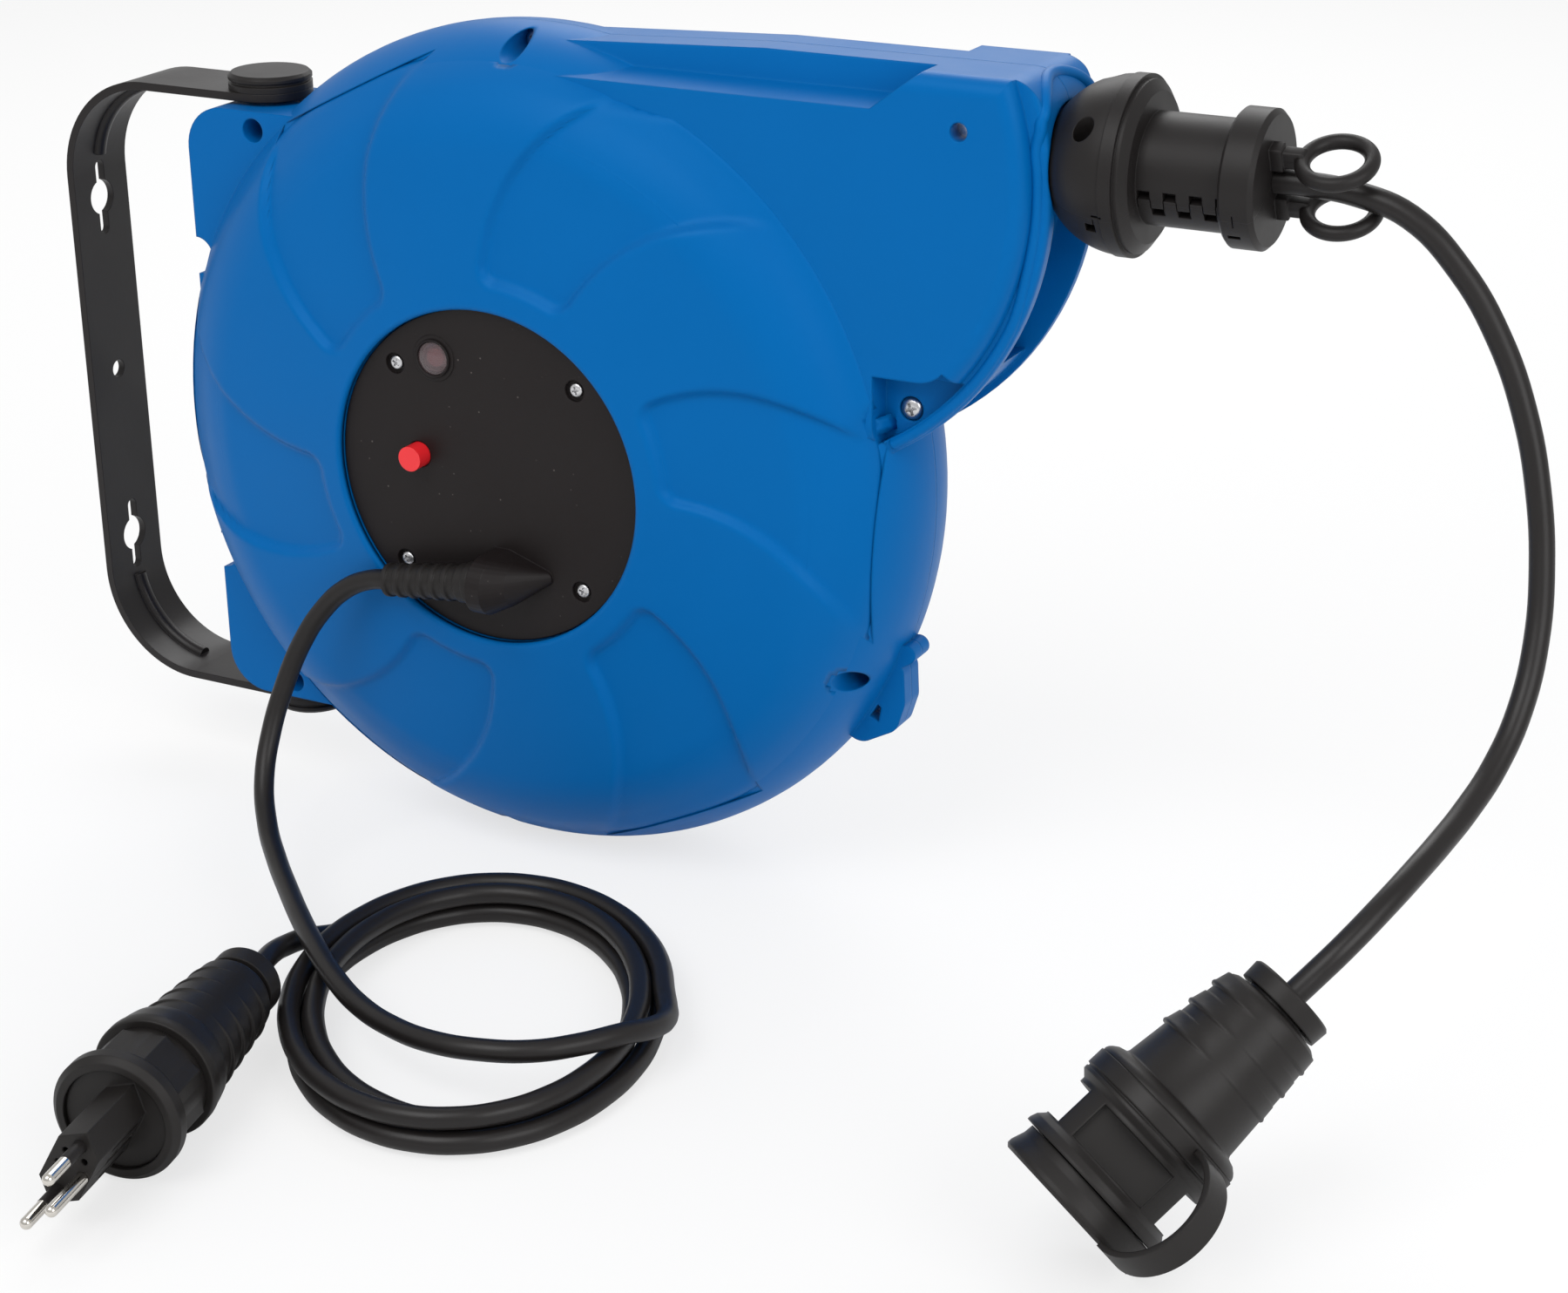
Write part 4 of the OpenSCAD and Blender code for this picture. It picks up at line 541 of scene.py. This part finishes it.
# frames are places in metres; the screw stands with its head's seat at the frame's origin
def cross_screws(name, head_r, head_h, shank_r, frames):
    master = turned("screw", [
        (shank_r * 0.6, -4), (shank_r, -3.4), (shank_r, -0.01), (head_r, 0), (head_r, head_h * 0.45),
        (head_r * 0.93, head_h * 0.72), (head_r * 0.74, head_h * 0.92), (head_r * 0.45, head_h)], 48)
    carve(master, box_tool((head_r * 1.15, head_r * 0.28, head_h * 1.6), (0, 0, head_h)))
    carve(master, box_tool((head_r * 0.28, head_r * 1.15, head_h * 1.6), (0, 0, head_h)))
    carve(master, turned("recess", [(head_r * 0.12, head_h * 0.1), (head_r * 0.3, head_h * 1.2)], 12))
    bpy.ops.object.shade_smooth_by_angle(angle=math.radians(35))
    parts = []
    for at in frames:
        part = master.copy()
        part.data = master.data.copy()
        bpy.context.scene.collection.objects.link(part)
        part.data.transform(at @ Matrix.Scale(0.001, 4))
        parts.append(part)
    bpy.data.objects.remove(master)
    return join_pieces(name, parts)


def face_frame(x, z, height, turn):
    return (Matrix.Translation((x / 1000, -height / 1000, z / 1000)) @ Matrix.Rotation(math.pi / 2, 4, "X")
            @ Matrix.Rotation(math.radians(turn), 4, "Z"))


nose_screw, block_screws = (358.6, 39), [(95, 109), (95, -109)]
rim_screws = cross_screws("rim_screws", 3.9, 2.8, 1.9, [face_frame(*nose_screw, 15, 20)] + [
    face_frame(*place, 5, turn)
    for place, turn in zip([*dome_screws, front_screw, *block_screws], (50, 10, 35, 5, 70))])
rim_screws.data.materials.append(zinc)
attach(rim_screws, "casing")
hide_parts("casing_screws")
plate_screw_r, plate_frames = 52.8, []
for around, turn in ((45, 15), (135, 60), (225, 30), (315, 75)):
    x = axis_x + plate_screw_r * math.cos(math.radians(around))
    z = plate_screw_r * math.sin(math.radians(around))
    plate_frames.append(face_frame(x, z, 44, turn))
plate_screw_set = cross_screws("plate_screw_set", 2.6, 1.4, 1.9, plate_frames)
plate_screw_set.data.materials.append(zinc)
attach(plate_screw_set, "casing")
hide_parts("plate_screws")

# ---------- wall bracket and swivel ----------
# A flat steel bar bent to a stirrup, punched and powder coated black. Two bolts with nylon
# bushes and captive nuts carry the casing, under moulded caps.
bracket_black = moulded("bracket_black", (0.0095, 0.0075, 0.0075), 0.3, 0.44, 500, 0.00004, 0.18, 0.3)
body_black = moulded("body_black", (0.0118, 0.0102, 0.01), 0.36, 0.5, 1300, 0.00003, 0.12, 0.25)
nylon = moulded("nylon", (0.6, 0.58, 0.5), 0.35, 0.45)
finish_node(bracket_black, "wall_bracket")
finish_node(body_black, "pivot_caps")
finish_node(nylon, "pivot_bushes", "roller_upper", "roller_lower")
finish_node(zinc, "pivot_bolts", "pivot_nuts", "cover_screws", "axle_nut", "pawl_pin", "pawl_spring",
            "roller_pins", "flange_screws", "stop_screws")

# ---------- centre plate ----------
# A black moulded plate in the face's opening, with the hood for the supply lead, a neon lamp
# behind a clear lens and the red button of the thermal cut-out. Fine dust clings to its grain.
plate_black = moulded("plate_black", (0.0105, 0.008, 0.008), 0.42, 0.52, 1800, 0.00004, 0.1, 0.2)
tree = plate_black.node_tree
place = next(n for n in tree.nodes if n.bl_idname == "ShaderNodeTexCoord")
surface = next(n for n in tree.nodes if n.bl_idname == "ShaderNodeGroup")
dust = tree.nodes.new("ShaderNodeTexVoronoi")
dust.inputs["Scale"].default_value = 230
dust.inputs["Randomness"].default_value = 1.0
speck = tree.nodes.new("ShaderNodeMapRange")
speck.inputs["From Min"].default_value = 0.10
speck.inputs["From Max"].default_value = 0.05
patch = tree.nodes.new("ShaderNodeTexNoise")
patch.inputs["Scale"].default_value = 60
thin = tree.nodes.new("ShaderNodeMapRange")
thin.inputs["From Min"].default_value = 0.5
thin.inputs["From Max"].default_value = 0.62
thin.inputs["To Max"].default_value = 0.5
amount = tree.nodes.new("ShaderNodeMath")
amount.operation = "MULTIPLY"
dusty = tree.nodes.new("ShaderNodeMixRGB")
dusty.inputs["Color2"].default_value = (0.16, 0.14, 0.13, 1)
tree.links.new(place.outputs["Object"], dust.inputs["Vector"])
tree.links.new(place.outputs["Object"], patch.inputs["Vector"])
tree.links.new(dust.outputs["Distance"], speck.inputs["Value"])
tree.links.new(patch.outputs["Fac"], thin.inputs["Value"])
tree.links.new(speck.outputs[0], amount.inputs[0])
tree.links.new(thin.outputs[0], amount.inputs[1])
tree.links.new(amount.outputs[0], dusty.inputs["Fac"])
tree.links.new(surface.outputs["Colour"], dusty.inputs["Color1"])
tree.links.new(dusty.outputs[0], tree.nodes["Principled BSDF"].inputs["Base Color"])
finish_node(plate_black, "centre_plate", "far_hub_cover")
button_red = moulded("button_red", (0.80, 0.018, 0.025), 0.25, 0.32, 1500, 0.00001, 0.04)
finish_node(button_red, "reset_button")
lens_glass = bpy.data.materials.new("lens_glass")
lens_glass.use_nodes = True
shader = lens_glass.node_tree.nodes["Principled BSDF"]
shader.inputs["Base Color"].default_value = (0.42, 0.3, 0.32, 1)
shader.inputs["Roughness"].default_value = 0.06
shader.inputs["Transmission Weight"].default_value = 0.85
shader.inputs["IOR"].default_value = 1.49
ripple = lens_glass.node_tree.nodes.new("ShaderNodeTexNoise")
ripple.inputs["Scale"].default_value = 500
place = lens_glass.node_tree.nodes.new("ShaderNodeTexCoord")
bump = lens_glass.node_tree.nodes.new("ShaderNodeBump")
bump.inputs["Strength"].default_value = 0.3
bump.inputs["Distance"].default_value = 0.0001
lens_glass.node_tree.links.new(place.outputs["Object"], ripple.inputs["Vector"])
lens_glass.node_tree.links.new(ripple.outputs["Fac"], bump.inputs["Height"])
lens_glass.node_tree.links.new(bump.outputs[0], shader.inputs["Normal"])
finish_node(lens_glass, "pilot_lens")
lens_place, lens_hole_r = (-20.5, 41.5, 0), 6.1
lens_ring = turned("lens_ring", [
    (6.05, 46), (6.9, 46), (7.0, 46.8), (6.75, 47.15), (6.35, 47.2), (6.15, 46.9)])
carve(lens_ring, turned("hole", [(lens_hole_r, 44), (lens_hole_r, 50)]))
bpy.ops.object.shade_smooth_by_angle(angle=math.radians(40))
lens_ring.data.transform(Matrix.Translation(lens_place))
stand_on_face(lens_ring)
lens_ring.data.materials.append(plate_black)
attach(lens_ring, "casing")
lamp_glass = moulded("lamp_glass", (0.62, 0.3, 0.28), 0.1, 0.2, 900, 0.00001, 0.3)
finish_node(lamp_glass, "neon_lamp")

# ---------- electrics behind the plate ----------
# Terminal block, leads, cut-out, carbon brushes on brass slip rings, all mass-produced parts
# clipped or screwed behind the plate.
cutout_grey = moulded("cutout_grey", (0.03, 0.03, 0.032), 0.4, 0.5)
terminal_cream = moulded("terminal_cream", (0.6, 0.56, 0.46), 0.4, 0.5)
lead_blue = moulded("lead_blue", (0.03, 0.08, 0.35), 0.4, 0.5)
holder_brown = moulded("holder_brown", (0.08, 0.04, 0.025), 0.4, 0.5)
carbon = moulded("carbon", (0.03, 0.03, 0.033), 0.5, 0.7, 2500, 0.00005, 0.3)
brass = metal("ring_brass", (0.62, 0.43, 0.17), 0.18, 0.3)
finish_node(cutout_grey, "thermal_cutout")
finish_node(terminal_cream, "terminal_block")
finish_node(lead_blue, "internal_leads")
finish_node(holder_brown, "brush_holder", "slip_ring_carrier")
finish_node(carbon, "brushes")
finish_node(brass, "slip_rings", "connector_contacts")

# ---------- drum, axle and ratchet ----------
# A moulded drum between two flanges turns on a steel axle in sintered bronze bushes, driven
# back by a coiled spring strip and held by a pawl in a ratchet wheel.
drum_cream = moulded("drum_cream", (0.6, 0.58, 0.5), 0.4, 0.52)
ratchet_dark = moulded("ratchet_dark", (0.05, 0.052, 0.06), 0.4, 0.5)
axle_steel = metal("axle_steel", (0.56, 0.56, 0.57), 0.2, 0.34)
spring_steel = metal("spring_steel", (0.3, 0.31, 0.33), 0.28, 0.42)
bronze = metal("sintered_bronze", (0.5, 0.33, 0.16), 0.4, 0.6)
finish_node(drum_cream, "drum_hub", "near_flange", "far_flange")
finish_node(ratchet_dark, "ratchet_wheel")
finish_node(axle_steel, "main_axle", "pawl")
finish_node(spring_steel, "spring_cover", "mainspring")
finish_node(bronze, "drum_bushes")

# ---------- wound cord ----------
# The stored cord lies on the drum in four layers, each turn beside the last, running to and
# fro between the flanges.
layers, layer_turns, layer_steps, step_over = 4, 5.4, 173, 6
first_r, layer_rise, half_travel = 0.09405, 0.00783, 0.0217
cord_clearance = 0.00003
layer_line = []
for layer in range(layers):
    layer_r = first_r + layer_rise * layer
    to_far = 1 if layer % 2 == 0 else -1
    for step in range(0 if layer == 0 else step_over, layer_steps):
        travel = step / layer_steps
        angle = 2 * math.pi * layer_turns * (layer + travel)
        x, z = drum_axis.x + layer_r * math.cos(angle), layer_r * math.sin(angle)
        layer_line.append(Vector((x, (-1 + 2 * travel) * to_far * half_travel, z)))
winding_data = bpy.data.curves.new("winding", "CURVE")
winding_data.dimensions = "3D"
winding_data.bevel_depth = outlet_d / 2 - cord_clearance
winding_data.bevel_resolution = 3
winding_data.use_fill_caps = True
wind = winding_data.splines.new("POLY")
wind.points.add(len(layer_line) - 1)
for knot, at in zip(wind.points, layer_line):
    knot.co = (*at, 1)
winding = bpy.data.objects.new("winding", winding_data)
bpy.context.scene.collection.objects.link(winding)
winding.data.materials.append(cord_sheath)
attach(winding, "drum")
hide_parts("wound_cord")

# ---------- cable stop ----------
# Two black moulded halves clamped round the cord, with a ring each for a hook. Square teeth key
# them together along the seam and leave small gaps; a web carries each ring.
stop_frame = (Matrix.Translation((0.4285, 0, 0.126)) @ Matrix.Rotation(math.radians(25), 4, "X")
              @ Matrix.Scale(0.001, 4))
tooth_from, tooth_pitch, teeth = 8, 4.375, 7
ring_offset = 9.6


# a copy of a node's mesh, merged and brought into a frame in millimetres
def cad_copy(name, source, frame_of_piece):
    piece = bpy.data.objects.new(name, nodes[source].data.copy())
    bpy.context.scene.collection.objects.link(piece)
    piece.data.materials.clear()
    piece.data.transform(frame_of_piece.inverted() @ nodes[source].matrix_world)
    bpy.ops.object.select_all(action="DESELECT")
    piece.select_set(True)
    bpy.context.view_layer.objects.active = piece
    bpy.ops.mesh.customdata_custom_splitnormals_clear()
    bpy.ops.object.mode_set(mode="EDIT")
    bpy.ops.mesh.select_all(action="SELECT")
    bpy.ops.mesh.remove_doubles(threshold=0.002)
    bpy.ops.mesh.dissolve_limited(angle_limit=math.radians(0.4))
    bpy.ops.mesh.normals_make_consistent(inside=False)
    bpy.ops.object.mode_set(mode="OBJECT")
    return piece


def finish_piece(piece, frame_of_piece, material, slot, body, *replaced, smooth=32):
    bpy.ops.object.select_all(action="DESELECT")
    piece.select_set(True)
    bpy.context.view_layer.objects.active = piece
    bpy.ops.object.shade_smooth_by_angle(angle=math.radians(smooth))
    piece.data.transform(frame_of_piece)
    piece.data.materials.clear()
    piece.data.materials.append(material)
    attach(piece, body)
    if replaced:
        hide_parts(*replaced)


def rounded_block(size, place, edge):
    block = box_tool(size, place)
    bpy.ops.object.mode_set(mode="EDIT")
    bpy.ops.mesh.select_all(action="SELECT")
    bpy.ops.mesh.bevel(offset=edge, segments=3)
    bpy.ops.object.mode_set(mode="OBJECT")
    return block


# the gaps are blocks to cut away, each a size and a place; those on the seam cut both halves
gaps = []
for tooth in range(teeth):
    edge = tooth_from + tooth_pitch * tooth
    middle = 3.05 if tooth % 2 == 0 else -3.05
    gaps.append(((4.3, 6, 3.1), (edge + 2.19, -17.5, middle)))
    gaps.append(((0.3, 6, 3.4), (edge, -18.2, 0)))
gaps += [((3.6, 5, 0.9), (-1.8, -28, 1.3)), ((3.6, 5, 3.4), (-4.6, -27, -3.8)),
         ((4.2, 5, 1.5), (40.6, -22, -6.8)), ((0.35, 5, 4.6), (41, -22.5, 0)),
         ((0.35, 6, 4.2), (-3.2, -28.5, -1))]
for half, side in (("stop_half_upper", 1), ("stop_half_lower", -1)):
    part = cad_copy("toothed_" + half[5:], half, stop_frame)
    for size, place in gaps:
        if abs(place[2]) < 1 or (place[2] > 0) == (side > 0):
            carve(part, box_tool(size, place))
    web = rounded_block((12, 4.4, 6.4), (52.6, 0, side * ring_offset), 0.9)
    foot = rounded_block((5.4, 5.6, 8.4), (49, 0, side * ring_offset), 0.8)
    part = join_pieces(part.name, [part, web, foot])
    finish_piece(part, stop_frame, body_black, "stop_black", "cord_end", half)

# ---------- connector ----------
# A soft rubber grip with three crescent ribs each side over a socket body with flat windows,
# closed by a sprung cap on a strap.
rubber_black = moulded("rubber_black", (0.0118, 0.0102, 0.0096), 0.4, 0.54, 1100, 0.00003, 0.12, 0.28, 0.0009)
connector_swing, connector_tilt = math.radians(-39.5), math.radians(90 + 36.7)
connector_frame = (Matrix.Translation((0.5411, -0.1399, -0.0792)) @ Matrix.Rotation(connector_swing, 4, "Z")
                   @ Matrix.Rotation(connector_tilt, 4, "X") @ Matrix.Scale(0.001, 4))


# a rib that stands proud on one side only, a turned ring set off the axis
def crescent(core_r, front, angle, proud, length):
    ring_r = core_r + proud * 0.05 - 0.6
    rib = turned("rib", [
        (ring_r - 4, front - length - 0.3), (ring_r - proud, front - length), (ring_r - 0.5, front - 1.6),
        (ring_r - 0.1, front - 1), (ring_r, front - 0.5), (ring_r - 0.3, front), (ring_r - 4, front + 0.05)])
    off = proud * 1.25
    rib.data.transform(Matrix.Translation((off * math.cos(angle), off * math.sin(angle), 0)))
    return rib


grip_profile = [
    (12, 7.3), (13.3, 7.35), (15.4, 7.7), (16.5, 8.4), (17.1, 9.4), (17.5, 10.8), (19.2, 28),
    (20.9, 45.8), (21.3, 46.6), (22.3, 47), (23.8, 47.5), (25.2, 48.6), (25.9, 49.4), (26.3, 50.3),
    (26.3, 51.3), (20, 51.3)]
parts = [turned("ribbed_grip", grip_profile, 128)]
for side_angle, proud in ((132.8, 1.45), (-47.2, 0.95)):
    for front, core_r in ((14.6, 17.9), (23.2, 18.75), (32.6, 19.65)):
        parts.append(crescent(core_r, front, math.radians(side_angle), proud, 5.6))
ribbed_grip = join_pieces("ribbed_grip", parts)
finish_piece(ribbed_grip, connector_frame, rubber_black, "rubber_black", "cord_end", "connector_grip",
             smooth=40)
finish_node(rubber_black, "connector_gland", "connector_body", "connector_cap", "connector_strap")

# ---------- plug and strain relief ----------
# Rubber grip and collar round a core with three nickel-plated pins, the two line pins half
# sleeved in black.
nickel = metal("nickel_pins", (0.66, 0.63, 0.58), 0.12, 0.22)
plug_frame = (Matrix.Translation(plug_at) @ Matrix.Rotation(plug_turn, 4, "Z")
              @ Matrix.Rotation(math.pi / 2, 4, "X") @ Matrix.Scale(0.001, 4))
sleeve_profile = [
    (9, 10), (11.4, 10.05), (12.6, 10.4), (13.3, 11.2), (13.7, 12.6), (14, 16), (15.6, 35), (17, 52),
    (18.4, 53.4), (19.5, 55), (20.1, 58), (20.5, 61), (20.9, 62.4), (21, 63), (21, 66.4), (20.6, 67),
    (16, 67)]
parts = [turned("plug_sleeve", sleeve_profile, 128)]
for side_angle, proud in ((145, 1.0), (-35, 1.6)):
    for front, core_r in ((19, 14.2), (28, 15), (37, 15.8), (46, 16.6)):
        parts.append(crescent(core_r, front, math.radians(side_angle), proud, 7.4))
plug_sleeve = join_pieces("plug_sleeve", parts)
finish_piece(plug_sleeve, plug_frame, rubber_black, "rubber_black", "casing", "plug_grip", smooth=40)
core = cad_copy("channelled_core", "plug_core", plug_frame)
core_roll = math.radians(61)
core_turn = Matrix.Rotation(core_roll, 4, "Z")
channel_middle, channel_length, channel_depth = 101.6, 17, 2.6
core_face, blind_depth, blind_r = 121, 2.6, 1.15
for across in (8.2, -8.2):
    for along, width in ((-6.2, 3.4), (0, 3.0), (6.2, 3.4)):
        tool = box_tool((width, channel_depth, channel_length), (along, across, channel_middle))
        tool.data.transform(core_turn)
        carve(core, tool)
for along, across in ((-5.4, 3.3), (5.4, 3.3), (-5.4, -3.3), (5.4, -3.3), (0, 3.8)):
    tool = turned("hole", [(blind_r, core_face - blind_depth), (blind_r, core_face + 1)], 24)
    tool.data.transform(core_turn @ Matrix.Translation((along, across, 0)))
    carve(core, tool)
finish_piece(core, plug_frame, rubber_black, "rubber_black", "casing", "plug_core", smooth=30)
finish_node(rubber_black, "strain_relief", "plug_gland", "plug_collar")
finish_node(nickel, "plug_pins")
pin_offset, pin_sleeve_r, pin_sleeve_length = 9.5, 2.14, 9
parts = []
for way in (-1, 1):
    sleeve = turned("pin_sleeves", [
        (1.4, core_face - 2), (pin_sleeve_r, core_face - 1.9),
        (pin_sleeve_r, core_face + pin_sleeve_length - 0.4),
        (2.02, core_face + pin_sleeve_length), (1.6, core_face + pin_sleeve_length + 0.02)], 48)
    sleeve.data.transform(Matrix.Translation((
        way * pin_offset * math.cos(core_roll), way * pin_offset * math.sin(core_roll), 0)))
    parts.append(sleeve)
pin_sleeves = join_pieces("pin_sleeves", parts)
finish_piece(pin_sleeves, plug_frame, body_black, "rubber_black", "casing")

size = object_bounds()
